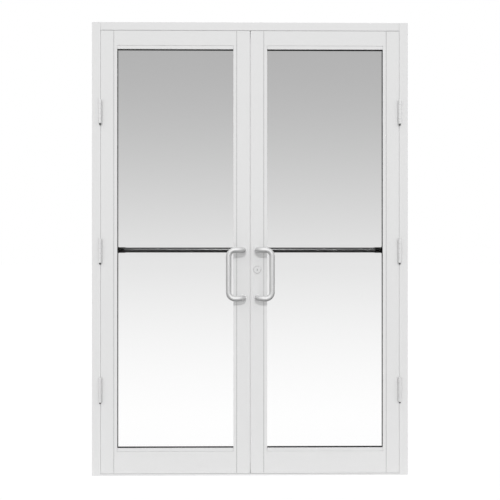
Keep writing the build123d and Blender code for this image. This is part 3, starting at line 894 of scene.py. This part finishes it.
def drilled_plate(
    skin: Skin, origin: Array, inward: Array, size: tuple[float, float, float], setbacks: Sequence[float],
    mouth: float, bore: float,
) -> None:
    """Make an upright plate with countersunk holes: each band runs from its own edge in to its hole.

    Args:
        skin: Mesh that takes the plate.
        origin: Middle of the plate's near edge, on its drilled face.
        inward: Direction from the drilled face into the plate.
        size: Thickness, reach along Y and height along Z.
        setbacks: Distance of each band's hole from the near edge, from the lowest band up.
        mouth: Radius of the countersinks at the face.
        bore: Radius of the holes.
    """
    thickness, reach, height = size
    levels = np.linspace(-height / 2.0, height / 2.0, len(setbacks) + 1)

    def place(flat: Array, depth: float) -> Array:
        """Set flat points at a depth below the drilled face."""
        return origin + flat[:, :1] * Axis.Y.way + flat[:, 1:] * Axis.Z.way + depth * inward

    for low, high, setback in zip(levels[:-1], levels[1:], setbacks):
        edge = rim((0.0, low), (reach, high), (BAND_SPANS, BAND_SPANS))
        middle = np.array([setback, (low + high) / 2.0])
        spoke = edge - middle
        spoke /= np.linalg.norm(spoke, axis=1)[:, None]
        rows = (
            (edge, 0.0), (middle + mouth * spoke, 0.0), (middle + bore * spoke, mouth - bore),
            (middle + bore * spoke, thickness), (edge, thickness),
        )
        skin.grid(np.stack([place(*row) for row in rows]))
    border = rim((0.0, levels[0]), (reach, levels[-1]), (BAND_SPANS, BAND_SPANS * len(setbacks)))
    skin.grid(np.stack([place(border, 0.0), place(border, thickness)]))


def span(node: str) -> tuple[Array, Array]:
    """Give a node's lowest and highest corners as arrays."""
    low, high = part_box(node)
    return np.array(low), np.array(high)


@dataclass
class EasedMember:
    """A painted extrusion: the node's own form with its sharp edges eased."""

    node: str
    body: str
    ease: float = 0.5 * MM
    segments: int = 2
    shortest: float = 8.0 * MM
    flat_degrees: float = 0.5
    sharp_degrees: float = 40.0

    def build(self) -> None:
        """Copy the node's mesh, join its triangles to flat faces and round its long sharp edges."""
        name = f"{self.node}_eased"
        mesh = bpy.data.meshes.new(name)
        work = bmesh.new()
        work.from_mesh(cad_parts[self.node].data)
        bmesh.ops.remove_doubles(work, verts=work.verts, dist=MERGE)
        flat, sharp = math.radians(self.flat_degrees), math.radians(self.sharp_degrees)
        bmesh.ops.dissolve_limit(work, angle_limit=flat, verts=work.verts, edges=work.edges)
        weight = work.edges.layers.float.new("bevel_weight_edge")
        for edge in work.edges:
            edge[weight] = float(edge.calc_length() > self.shortest and edge.calc_face_angle(0.0) > sharp)
        work.to_mesh(mesh)
        work.free()
        mesh.shade_flat()
        mesh.materials.append(PAINT.material())
        mesh.polygons.foreach_set("material_index", np.zeros(len(mesh.polygons), np.int32))
        piece = placed(name, mesh)
        bevel = piece.modifiers.new("eased_edges", "BEVEL")
        bevel.width = self.ease
        bevel.segments = self.segments
        bevel.limit_method = "WEIGHT"
        carry(piece, self.body, [self.node])


@dataclass
class LeafMaker(ABC):
    """A maker of pieces that each leaf has."""

    hand: Hand

    @abstractmethod
    def build(self) -> None:
        """Build the pieces and settle them on their bodies."""

    def span(self, piece: str) -> tuple[Array, Array]:
        """Give the corners of this leaf's node for a piece."""
        return span(self.hand.node(piece))

    def settle(self, skin: Skin, name: str, finishes: Sequence[Finish], *pieces: str) -> None:
        """Settle a piece on this leaf, in place of its nodes for some pieces."""
        skin.settle(self.hand.node(name), self.hand.leaf, finishes, *map(self.hand.node, pieces))


@dataclass
class DoorPull(LeafMaker):
    """An offset pull: one round bar, out from the stile, across to the glass and down the grip."""

    radius: float = 12.7 * MM
    bend: float = 30.0 * MM
    bend_steps: int = 20
    steps: int = 48

    def build(self) -> None:
        """Carry a circle along the bent route and settle it on the leaf."""
        low, high = self.span("pull")
        post = sum(corner[0] for corner in self.span("pull_bolts")) / 2.0
        grip = (high[0] if self.hand is Hand.RIGHT else low[0]) - self.hand.value * self.radius
        front, face = low[1] + self.radius, high[1]
        top, bottom = high[2] - self.radius, low[2] + self.radius
        route = [
            (post, face, top), (post, front, top), (grip, front, top),
            (grip, front, bottom), (post, front, bottom), (post, face, bottom),
        ]
        skin = Skin()
        swept(skin, bent_path(route, self.bend, self.bend_steps), self.radius, self.steps)
        self.settle(skin, "pull_bar", [SATIN], "pull")


@dataclass
class PushBar(LeafMaker):
    """A push bar across the inside: a tube on two elbows that stand on rosettes."""

    tube_radius: float = 12.7 * MM
    tube_wall: float = 2.0 * MM
    tube_ease: float = 0.5 * MM
    tube_steps: int = 56
    elbow_radius: float = 14.0 * MM
    elbow_bend: float = 26.0 * MM
    elbow_steps: int = 48
    bend_steps: int = 18
    rosette_radius: float = 30.0 * MM
    rosette_height: float = 6.0 * MM
    rosette_ease: float = 2.5 * MM
    rosette_steps: int = 64
    spigot_length: float = 25.0 * MM
    spigot_fit: float = 0.2 * MM
    spigot_steps: int = 32
    screw_ring: float = 22.0 * MM
    screw_turns: tuple[float, ...] = (90.0, 210.0, 330.0)

    def build(self) -> None:
        """Build the tube and its two elbows and settle them on the leaf."""
        low, high = self.span("push_bar")
        self._tube(low, high)
        self._elbows(low, high)

    def _tube(self, low: Array, high: Array) -> None:
        """Revolve the hollow tube's wall about its own line.

        Args:
            low: Lowest corner of the bar.
            high: Highest corner of the bar.
        """
        start = np.array([low[0], *((low + high) / 2.0)[1:]])
        inner = self.tube_radius - self.tube_wall
        wall = tube_wall(inner, self.tube_radius, high[0] - low[0], self.tube_ease)
        skin = Skin()
        turned(skin, start, Axis.X, wall, self.tube_steps, looped=True)
        self.settle(skin, "push_tube", [DARK], "push_bar")

    def _elbows(self, low: Array, high: Array) -> None:
        """Carry each elbow from its rosette to the tube's end.

        Args:
            low: Lowest corner of the bar.
            high: Highest corner of the bar.
        """
        foot_low, foot_high = self.span("push_bar_brackets")
        face = foot_low[1]
        _, line, height = (low + high) / 2.0
        rosette = button(self.rosette_radius, self.rosette_height, self.rosette_ease)
        skin = Skin()
        posts = (foot_low[0] + self.rosette_radius, foot_high[0] - self.rosette_radius)
        for post, end, way in zip(posts, (low[0], high[0]), (1.0, -1.0)):
            route = [(post, face, height), (post, line, height), (end, line, height)]
            path = bent_path(route, self.elbow_bend, self.bend_steps)
            swept(skin, path, self.elbow_radius, self.elbow_steps)
            spigot = np.array([[end, line, height], [end + way * self.spigot_length, line, height]])
            swept(skin, spigot, self.tube_radius - self.tube_wall - self.spigot_fit, self.spigot_steps)
            foot = np.array([post, face, height])
            turned(skin, foot, Axis.Y, rosette, self.rosette_steps)
            for angle in np.radians(self.screw_turns):
                ring = np.array([math.cos(angle), 0.0, math.sin(angle)]) * self.screw_ring
                OVAL.build(skin, foot + self.rosette_height * Axis.Y.way + ring, Axis.Y.way, 1)
        self.settle(skin, "push_elbows", [BLACK, PLATE], "push_bar_brackets")


@dataclass
class HingeSet(LeafMaker):
    """Three butt hinges of one leaf: drilled plates, knuckles that mesh, pins and flush screws."""

    height: float = 114.3 * MM
    knuckles: int = 5
    knuckle_gap: float = 0.3 * MM
    knuckle_ease: float = 0.6 * MM
    knuckle_steps: int = 48
    barrel: float = 8.5 * MM
    pin: float = 4.0 * MM
    pin_fit: float = 0.05 * MM
    pin_tip: float = 9.0 * MM
    pin_steps: int = 32
    tip_steps: int = 5
    head_radius: float = 6.0 * MM
    head_height: float = 2.5 * MM
    head_ease: float = 1.2 * MM
    head_steps: int = 40
    plate: float = 2.5 * MM
    plate_gap: float = 0.2 * MM
    reach: float = 38.0 * MM
    web_start: float = 5.0 * MM
    web_ease: float = 0.2 * MM
    setbacks: tuple[float, ...] = (26.0 * MM, 12.0 * MM, 26.0 * MM, 12.0 * MM)
    mouth: float = 4.8 * MM
    bore: float = 2.6 * MM

    def build(self) -> None:
        """Build both halves and the pins, and settle them on the frame and the leaf."""
        low, high = self.span("hinge_frame_plates")
        line = sum(self.span("hinge_pins"))[:2] / 2.0
        ends = (low[2], high[2] - self.height)
        axes = [np.array([*line, foot]) for foot in (ends[0], sum(ends) / 2.0, ends[1])]
        face = high[1] - self.reach
        for owner, body, outward in (("frame", "frame", 1), ("door", self.hand.leaf, -1)):
            skin = Skin()
            for foot in axes:
                self._half(skin, foot, face, outward)
            node = self.hand.node(f"hinge_{owner}_plates")
            skin.settle(self.hand.node(f"{owner}_hinge_halves"), body, [HINGE, PLATE], node)
        skin = Skin()
        for foot in axes:
            self._pin(skin, foot)
        skin.settle(self.hand.node("pin_set"), "frame", [HINGE, STEEL_WITH_PAINTED_SHADE], self.hand.node("hinge_pins"))

    def _half(self, skin: Skin, foot: Array, face: float, outward: int) -> None:
        """Add one plate with its knuckles, webs and screws, on one side of the axis.

        Args:
            skin: Mesh that takes the half.
            foot: Lower end of the barrel, on its axis.
            face: Depth of the leaf's outside face.
            outward: 1 for the frame's half and -1 for the leaf's.
        """
        inward = Axis.X.way * self.hand.value * outward
        origin = np.array([foot[0], face, foot[2] + self.height / 2.0]) + inward * self.plate_gap / 2.0
        size = (self.plate, self.reach, self.height)
        drilled_plate(skin, origin, inward, size, self.setbacks, self.mouth, self.bore)
        band = self.height / len(self.setbacks)
        for number, setback in enumerate(self.setbacks):
            rise = (number + 0.5) * band - self.height / 2.0
            FLUSH.build(skin, origin + np.array([0.0, setback, rise]), -inward, 1)
        pitch = self.height / self.knuckles
        length = pitch - self.knuckle_gap
        wall = tube_wall(self.pin + self.pin_fit, self.barrel, length, self.knuckle_ease)
        for knuckle in range(0 if outward > 0 else 1, self.knuckles, 2):
            start = foot[2] + knuckle * pitch + self.knuckle_gap / 2.0
            turned(skin, np.array([*foot[:2], start]), Axis.Z, wall, self.knuckle_steps, looped=True)
            near = np.array([origin[0], foot[1] + self.web_start, start])
            far = np.array([origin[0], face, start + length]) + inward * self.plate
            box_between(skin, np.minimum(near, far), np.maximum(near, far), self.web_ease)

    def _pin(self, skin: Skin, foot: Array) -> None:
        """Add one pin: a shank with a round tip, darkened with painted shade, and a satin button head.

        Args:
            skin: Mesh that takes the pin.
            foot: Lower end of the barrel, on its axis.
        """
        bend = quarter(self.tip_steps)
        round_tip = np.stack([self.pin * np.sin(bend), self.pin * (1.0 - np.cos(bend))], axis=-1)
        shank = np.concatenate([round_tip[1:], [(self.pin, self.pin_tip + self.height)]])
        turned(skin, foot - self.pin_tip * Axis.Z.way, Axis.Z, shank, self.pin_steps, 1)
        head = button(self.head_radius, self.head_height, self.head_ease)
        turned(skin, foot + self.height * Axis.Z.way, Axis.Z, head, self.head_steps)


@dataclass
class LockSet:
    """The right leaf's lock: ring and cylinder, key plug, rose and thumb turn."""

    ring: float = 19.0 * MM
    ring_steps: int = 72
    bevel: float = 2.0 * MM
    edge_ease: float = 0.5 * MM
    cylinder: float = 14.5 * MM
    seam: float = 0.4 * MM
    plug: float = 6.35 * MM
    plug_steps: int = 96
    fit: float = 0.05 * MM
    keyway: tuple[float, float, float] = (2.2 * MM, 9.0 * MM, 9.0 * MM)
    spindle: float = 5.0 * MM
    spindle_steps: int = 40
    turn_gap: float = 0.3 * MM
    wing: tuple[float, float] = (32.0 * MM, 9.0 * MM)
    wing_ease: float = 1.6 * MM
    tailpiece: tuple[float, float] = (2.5 * MM, 6.0 * MM)
    tail_ease: float = 0.2 * MM

    def build(self) -> None:
        """Build the four pieces and settle them on the leaf and the spindle."""
        low, high = span("lock_cylinder")
        spot = (low + high) / 2.0
        face = span("header")[0][1]
        origin = np.array([spot[0], 0.0, spot[2]])
        self._ring(origin, low[1], face, high[1])
        self._plug(origin, span("key_plug")[0][1], high[1])
        rose_low, rose_high = span("thumb_turn_rose")
        self._rose(origin, rose_low[1], span("right_meeting_stile")[1][1], rose_high[1])
        self._turn(origin, high[1], rose_low[1], rose_high[1] + self.turn_gap, span("thumb_turn")[1][1])

    def _sleeve(self, name: str, node: str, origin: Array, wall: Sequence[tuple[float, float]]) -> None:
        """Revolve a wall about the lock's line and settle it on the leaf.

        Args:
            name: Name of the piece.
            node: Node that it stands for.
            origin: Point on the lock's line at depth 0.
            wall: Rows of radius and depth, the last of which joins the first.
        """
        skin = Skin()
        turned(skin, origin, Axis.Y, np.array(wall), self.ring_steps, looped=True)
        skin.settle(name, Hand.RIGHT.leaf, [TURNED], node)

    def _ring(self, origin: Array, front: float, face: float, end: float) -> None:
        """Build the tapered ring with the cylinder in it, and a fine seam between the two.

        Args:
            origin: Point on the lock's line at depth 0.
            front: Depth of the ring's front.
            face: Depth of the leaf's outside face.
            end: Depth of the cylinder's inner end.
        """
        bore, slope = self.plug + self.fit, self.ring - self.bevel
        wall = [
            (bore, front), (self.cylinder, front), (self.cylinder, front + self.seam),
            (self.cylinder + self.seam, front + self.seam), (self.cylinder + self.seam, front),
            (slope - self.edge_ease, front), (slope, front + self.edge_ease), (self.ring, face),
            (self.cylinder, face), (self.cylinder, end), (bore, end),
        ]
        self._sleeve("lock_ring", "lock_cylinder", origin, wall)

    def _plug(self, origin: Array, front: float, end: float) -> None:
        """Build the plug: rings from the keyway's floor to its mouth, over the face and along the side.

        Args:
            origin: Point on the lock's line at depth 0.
            front: Depth of the plug's front.
            end: Depth of its inner end.
        """
        width, height, depth = self.keyway
        line = Axis.Y.way
        angles = circle(self.plug_steps)
        slot = oblong(angles, height / 2.0, width / 2.0)
        ring = np.full_like(slot, self.plug)

        def rows(radii: Sequence[Array], depths: Sequence[float]) -> Array:
            """Give rings of some radii at some depths."""
            along = np.array(depths)[:, None, None] * line
            return origin + along + np.stack(radii)[..., None] * spokes(Axis.Y, angles)

        skin = Skin()
        # The keyway's walls and floor take the dark steel: painted shade in the recess.
        inside = skin.grid(rows([slot, slot], [front + depth, front]), finish=1)
        skin.cap(inside[0], origin + (front + depth) * line, 1)
        shell = [slot, ring - self.edge_ease, ring, ring]
        outside = skin.grid(rows(shell, [front, front, front + self.edge_ease, end]))
        skin.cap(outside[-1], origin + end * line)
        skin.settle("keyed_plug", "lock_spindle", [TURNED, STEEL_WITH_PAINTED_SHADE], "key_plug")

    def _rose(self, origin: Array, start: float, back: float, front: float) -> None:
        """Build the inside rose, tapered like the ring outside.

        Args:
            origin: Point on the lock's line at depth 0.
            start: Depth of the rose's inner end.
            back: Depth of the leaf's inside face.
            front: Depth of the rose's front.
        """
        bore, slope = self.spindle + self.fit, self.ring - self.bevel
        wall = [
            (bore, start), (self.cylinder, start), (self.cylinder, back), (self.ring, back),
            (slope, front - self.edge_ease), (slope - self.edge_ease, front), (bore, front),
        ]
        self._sleeve("turn_rose", "thumb_turn_rose", origin, wall)

    def _turn(self, origin: Array, tail: float, start: float, wing: float, end: float) -> None:
        """Build the thumb turn: a flat tailpiece, a round spindle and a rounded wing.

        Args:
            origin: Point on the lock's line at depth 0.
            tail: Depth of the tailpiece's end.
            start: Depth where the spindle starts.
            wing: Depth where the wing starts.
            end: Depth of the wing's front.
        """
        line = Axis.Y.way
        thick, tall = self.tailpiece
        half = np.array([thick / 2.0, 0.0, tall / 2.0])
        skin = Skin()
        box_between(skin, origin + tail * line - half, origin + start * line + half, self.tail_ease)
        shaft = np.array([(self.spindle, start), (self.spindle, wing + self.wing_ease)])
        turned(skin, origin, Axis.Y, shaft, self.spindle_steps)
        size = (end - wing, *self.wing)
        slab(skin, origin + (wing + end) / 2.0 * line, Axis.Y, size, self.wing[1] / 2.0, self.wing_ease)
        skin.settle("turn_wing", "lock_spindle", [PLATE], "thumb_turn")


@dataclass
class PullBolts(LeafMaker):
    """The through bolts of one pull: a stud above and a socket-headed bolt below."""

    shank: float = 4.0 * MM
    steps: int = 32

    def build(self) -> None:
        """Revolve both shanks, add the head and settle them on the leaf."""
        low, high = self.span("pull_bolts")
        back = self.span("meeting_stile")[1][1]
        middle = (low[0] + high[0]) / 2.0
        skin = Skin()
        for height, end in ((high[2] - self.shank, high[1]), (low[2] + SOCKET.radius, back)):
            shank = np.array([(self.shank, low[1]), (self.shank, end)])
            turned(skin, np.array([middle, 0.0, height]), Axis.Y, shank, self.steps)
        SOCKET.build(skin, np.array([middle, back, low[2] + SOCKET.radius]), Axis.Y.way)
        self.settle(skin, "pull_bolt_set", [PLATE], "pull_bolts")


@dataclass
class PileSeal(LeafMaker):
    """The pile in one meeting edge, and the pile sweep under the leaf."""

    backing: float = 2.0 * MM
    step: float = 1.3 * MM
    tuft: float = 0.4 * MM
    waves: tuple[float, float] = (3.1 * MM, 4.7 * MM)
    lags: tuple[float, float] = (1.7, 0.9)
    columns: int = 7
    sweep_setback: float = 1.0 * MM
    sweep_depth: float = 4.0 * MM
    sweep_drop: float = 1.5 * MM
    sweep_ease: float = 0.3 * MM

    def build(self) -> None:
        """Build both strips of pile and settle them on the leaf."""
        self._edge()
        self._sweep()

    def _edge(self) -> None:
        """Run a section up the edge whose tips lie back by the product of two waves of height and column."""
        low, high = self.span("meeting_seal")
        tip, root = sorted(abs(x) for x in (low[0], high[0]))
        rows = np.linspace(low[2], high[2], int((high[2] - low[2]) / self.step) + 1)
        across = np.linspace(high[1], low[1], self.columns)
        turn = 2.0 * math.pi * rows[:, None]
        phase = np.arange(self.columns)[None, :]
        first, second = (np.sin(turn / wave + phase * lag) for wave, lag in zip(self.waves, self.lags))
        bow = (across - across.mean()) / (high[1] - low[1]) * 2.0
        reach = tip + self.tuft * (0.5 + 0.5 * first * second) + self.tuft * bow[None, :] ** 2
        base = np.broadcast_to([root, root - self.backing], (len(rows), 2))
        x = np.concatenate([base, reach, base[:, ::-1]], axis=1)
        y = np.broadcast_to(np.concatenate([[high[1]] * 2, across, [low[1]] * 2]), x.shape)
        z = np.broadcast_to(rows[:, None], x.shape)
        skin = Skin()
        skin.solid(np.stack([self.hand.value * x, y, z], axis=-1))
        self.settle(skin, "edge_pile", [PILE], "meeting_seal")

    def _sweep(self) -> None:
        """Hang a low strip of pile under the leaf, just behind its face."""
        inner_low, inner_high = self.span("meeting_stile")
        outer_low, outer_high = self.span("hinge_stile")
        low = np.minimum(inner_low, outer_low)
        high = np.maximum(inner_high, outer_high)
        front = low[1] + self.sweep_setback
        near = (low[0], front, low[2] - self.sweep_drop)
        far = (high[0], front + self.sweep_depth, low[2] + self.sweep_ease)
        skin = Skin()
        box_between(skin, near, far, self.sweep_ease)
        self.settle(skin, "bottom_sweep", [PILE])


@dataclass
class JointShadeStrips(LeafMaker):
    """Grey strips of painted shade in the shadow lines beside one leaf's stiles, front and back."""

    width: float = 1.6 * MM
    recess: float = 1.7 * MM
    bed: float = 2.0 * MM
    ease: float = 0.1 * MM

    def build(self) -> None:
        """Lay one strip in each of the four upright joints and settle them on the leaf."""
        skin = Skin()
        for stile, way in (("hinge_stile", -1), ("meeting_stile", 1)):
            low, high = self.span(stile)
            edge = sorted((low[0], high[0]), key=abs)[0 if way < 0 else 1]
            left, right = sorted((edge, edge + way * self.hand.value * self.width))
            fronts = (low[1] + self.recess, low[1] + self.bed)
            backs = (high[1] - self.bed, high[1] - self.recess)
            for near, far in (fronts, backs):
                box_between(skin, (left, near, low[2]), (right, far, high[2]), self.ease)
        self.settle(skin, "joint_painted_shade", [JOINT_SHADE])


@dataclass
class BulbSeals:
    """The bulb seals in the door stops: a half-round bulb on a stem."""

    radius: float = 2.2 * MM
    stem: float = 2.6 * MM
    depth: float = 5.0 * MM
    steps: int = 20

    def build(self) -> None:
        """Run the section up both sides and along the head, and settle the seals on the frame."""
        bend = np.linspace(-math.pi / 2.0, math.pi / 2.0, self.steps + 1)
        bulb = np.stack([-self.radius * np.cos(bend), self.radius * np.sin(bend)], axis=-1)
        half = self.stem / 2.0
        stem = np.array([(0.0, half), (self.depth, half), (self.depth, -half), (0.0, -half)])
        outline = np.concatenate([bulb, stem])
        upright, level = (Axis.Z.way, Axis.X.way), (Axis.X.way, Axis.Z.way)
        for name, (along, across) in (("left", upright), ("right", upright), ("head", level)):
            low, high = span(f"{name}_frame_seal")
            origin = (low + high) / 2.0 * across + (low[1] + self.radius) * Axis.Y.way + low * along
            skin = Skin()
            extruded(skin, outline, origin, np.stack([Axis.Y.way, across]), (high - low) * along)
            skin.settle(f"{name}_bulb", "frame", [BULB], f"{name}_frame_seal")


@dataclass
class PlateScrews:
    """Oval screws in the lock's faceplate, the flush bolts' plates and the threshold."""

    faceplate_inset: float = 9.0 * MM
    flush_reach: float = 300.0 * MM
    flush_spread: float = 57.0 * MM
    sill_places: tuple[float, ...] = (-0.62, -0.21, 0.21, 0.62)
    sill_depth: float = 8.0 * MM

    def build(self) -> None:
        """Build the three sets and settle them on their bodies."""
        low, high = span("lock_faceplate")
        depth = (low + high)[1] / 2.0
        heights = (low[2] + self.faceplate_inset, high[2] - self.faceplate_inset)
        self._set("faceplate_screws", "right_leaf", [(low[0], depth, z) for z in heights], -Axis.X.way)
        low, high = span("left_meeting_stile")
        depth = (low + high)[1] / 2.0
        plates = (low[2] + self.flush_reach, high[2] - self.flush_reach)
        heights = [plate + way * self.flush_spread for plate in plates for way in (-1, 1)]
        self._set("flush_plate_screws", "left_leaf", [(high[0], depth, z) for z in heights], Axis.X.way)
        top = span("threshold")[1][2]
        spots = [(x, self.sill_depth, top) for x in self.sill_places]
        self._set("threshold_screws", "frame", spots, Axis.Z.way)

    def _set(self, name: str, body: str, spots: Sequence[tuple[float, float, float]], out: Array) -> None:
        """Build one set of screws.

        Args:
            name: Name of the piece.
            body: Body that carries it.
            spots: Places of the heads.
            out: Direction out of the surface.
        """
        skin = Skin()
        for spot in spots:
            OVAL.build(skin, np.array(spot), out)
        skin.settle(name, body, [PLATE])


@dataclass
class Studio:
    """Pale floor, soft light with one clear front lamp, and the camera."""

    distance: float = 2.2
    eye: float = 1.087
    yaw_degrees: float = 0.4
    field: float = 2.4115
    aim: float = -1.3 * MM
    sensor: float = 36.0
    ambient: float = 0.75
    side_start: float = 0.55
    side_full: float = 0.95
    side_tone: float = 0.62
    lamp: float = 0.88
    lamp_rise_degrees: float = 24.0
    lamp_angle_degrees: float = 1.0
    floor_side: float = 60.0
    floor_tone: float = 0.86
    # Painted light: the floor's tone near the door, seen by bounced light only.
    floor_painted_light: float = 0.97
    painted_light_reach: float = 0.8
    floor_mirrored: float = 0.26
    floor_glow: float = 0.82
    floor_kept: float = 0.24

    def build(self) -> None:
        """Build the world, the lamp, the floor and the camera."""
        bpy.context.scene.view_settings.view_transform = "Standard"
        self._world()
        self._lamp()
        self._floor()
        self._camera()

    def _world(self) -> None:
        """Show white to camera, glass and metal, a darker side to metal, and soft light to the rest."""
        world = bpy.data.worlds.new("studio")
        bpy.context.scene.world = world
        world.use_nodes = True
        tree = NodeTree(world.node_tree)
        kinds = ("Camera", "Transmission", "Glossy")
        seen, through, mirrored = (tree.ray(f"Is {kind} Ray") for kind in kinds)
        side = abs(tree.part(tree.coordinates("Generated"), "X")).eased(self.side_start, self.side_full)
        shown = tree.mixed(side * mirrored, 1.0, self.side_tone)
        colour = tree.mixed(seen.most(through).most(mirrored), self.ambient, shown)
        sky = tree.add("ShaderNodeBackground", {}, {"Color": colour, "Strength": 1.0})
        tree.close("ShaderNodeOutputWorld", sky)

    def _lamp(self) -> None:
        """Set a far lamp in front of the door, above the eye."""
        light = bpy.data.lights.new("front_lamp", "SUN")
        light.energy = self.lamp
        light.angle = math.radians(self.lamp_angle_degrees)
        holder = placed("front_lamp", light)
        holder.rotation_euler = (math.radians(90.0 - self.lamp_rise_degrees), 0.0, 0.0)

    def _floor(self) -> None:
        """Lay a pale floor that looks white and keeps a shadow, and is paler near the door with painted
        light.
        """
        half = self.floor_side / 2.0
        corners = [(-half, -half, 0), (half, -half, 0), (half, half, 0), (-half, half, 0)]
        mesh = bpy.data.meshes.new("studio_floor")
        mesh.from_pydata(corners, [], [(0, 1, 2, 3)])
        placed("studio_floor", mesh)
        material = bpy.data.materials.new("studio_floor")
        material.use_nodes = True
        tree = NodeTree(material.node_tree)
        seen, through = tree.ray("Is Camera Ray"), tree.ray("Is Transmission Ray")
        mirrored = tree.ray("Glossy Depth").spread(0.0, 1.0)
        # Painted light: bounced light sees the floor paler near the door, so that the door's foot is lit as
        # brightly as its head.
        away = abs(tree.part(tree.coordinates(), "Y")).eased(0.0, self.painted_light_reach)
        pale = tree.mixed(away, self.floor_painted_light, self.floor_tone)
        tone = tree.mixed(mirrored, pale, self.floor_mirrored)
        plain = tree.add("ShaderNodeBsdfDiffuse", {}, {"Color": tone})
        kept = tree.add("ShaderNodeBsdfDiffuse", {}, {"Color": grey(self.floor_kept)})
        glow, white = (
            tree.add("ShaderNodeEmission", {}, {"Color": grey(1.0), "Strength": strength})
            for strength in (self.floor_glow, 1.0)
        )
        shown = tree.add("ShaderNodeAddShader", {}, {0: glow, 1: kept})
        looked = tree.add("ShaderNodeMixShader", {}, {0: seen, 1: plain, 2: shown})
        whole = tree.add("ShaderNodeMixShader", {}, {0: through - mirrored, 1: looked, 2: white})
        tree.close("ShaderNodeOutputMaterial", whole)
        mesh.materials.append(material)

    def _camera(self) -> None:
        """Stand the camera in front of mid width, at eye height."""
        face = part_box("header")[0][1]
        turn = math.radians(self.yaw_degrees)
        lens = bpy.data.cameras.new("photo_view")
        lens.sensor_width = self.sensor
        lens.lens = self.sensor * self.distance / self.field
        lens.clip_end = self.floor_side
        camera = placed("photo_view", lens)
        camera.location = (self.aim - self.distance * math.tan(turn), face - self.distance, self.eye)
        camera.rotation_euler = (math.radians(90.0), 0.0, -turn)
        bpy.context.scene.camera = camera


FRAME_MEMBERS = (
    "left_jamb", "right_jamb", "header", "threshold", "left_door_stop", "right_door_stop", "head_door_stop",
)
LEAF_MEMBERS = ("hinge_stile", "meeting_stile", "top_rail", "bottom_rail", "front_stops", "rear_stops")
SEALED = ("front_gaskets", "rear_gaskets", "setting_blocks")
FLUSH_BOLTS = ("top_flush_bolt_housing", "bottom_flush_bolt_housing", "top_flush_bolt", "bottom_flush_bolt")


def dress(nodes: Sequence[str], finish: Finish) -> None:
    """Give carried-over nodes a finish.

    Args:
        nodes: Names of the nodes.
        finish: Finish for all their slots.
    """
    for node in nodes:
        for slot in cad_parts[node].material_slots:
            slot.material = finish.material()
        log.info("dressed %s with %s", node, finish.title)


def dress_carried_nodes() -> None:
    """Give each node that is carried over its finish."""
    dress(["header_clips", "lock_case"], MILL)
    for hand in Hand:
        dress([hand.node(piece) for piece in SEALED], GASKET)
        dress([hand.node("corner_blocks")], MILL)
        dress([hand.node("glass")], GLASS)
    dress(["lock_faceplate", "lock_bolt", *FLUSH_BOLTS], PLATE)


def main() -> None:
    """Dress the frame, build the pieces and set the studio."""
    logging.basicConfig(level=logging.INFO, format="%(message)s")
    dress_carried_nodes()
    for node in FRAME_MEMBERS:
        EasedMember(node, "frame").build()
    for hand in Hand:
        for member in LEAF_MEMBERS:
            EasedMember(hand.node(member), hand.leaf).build()
        for maker in (DoorPull, PullBolts, PushBar, HingeSet, PileSeal, JointShadeStrips):
            maker(hand).build()
    LockSet().build()
    BulbSeals().build()
    PlateScrews().build()
    Studio().build()


if __name__ == "__main__":
    main()
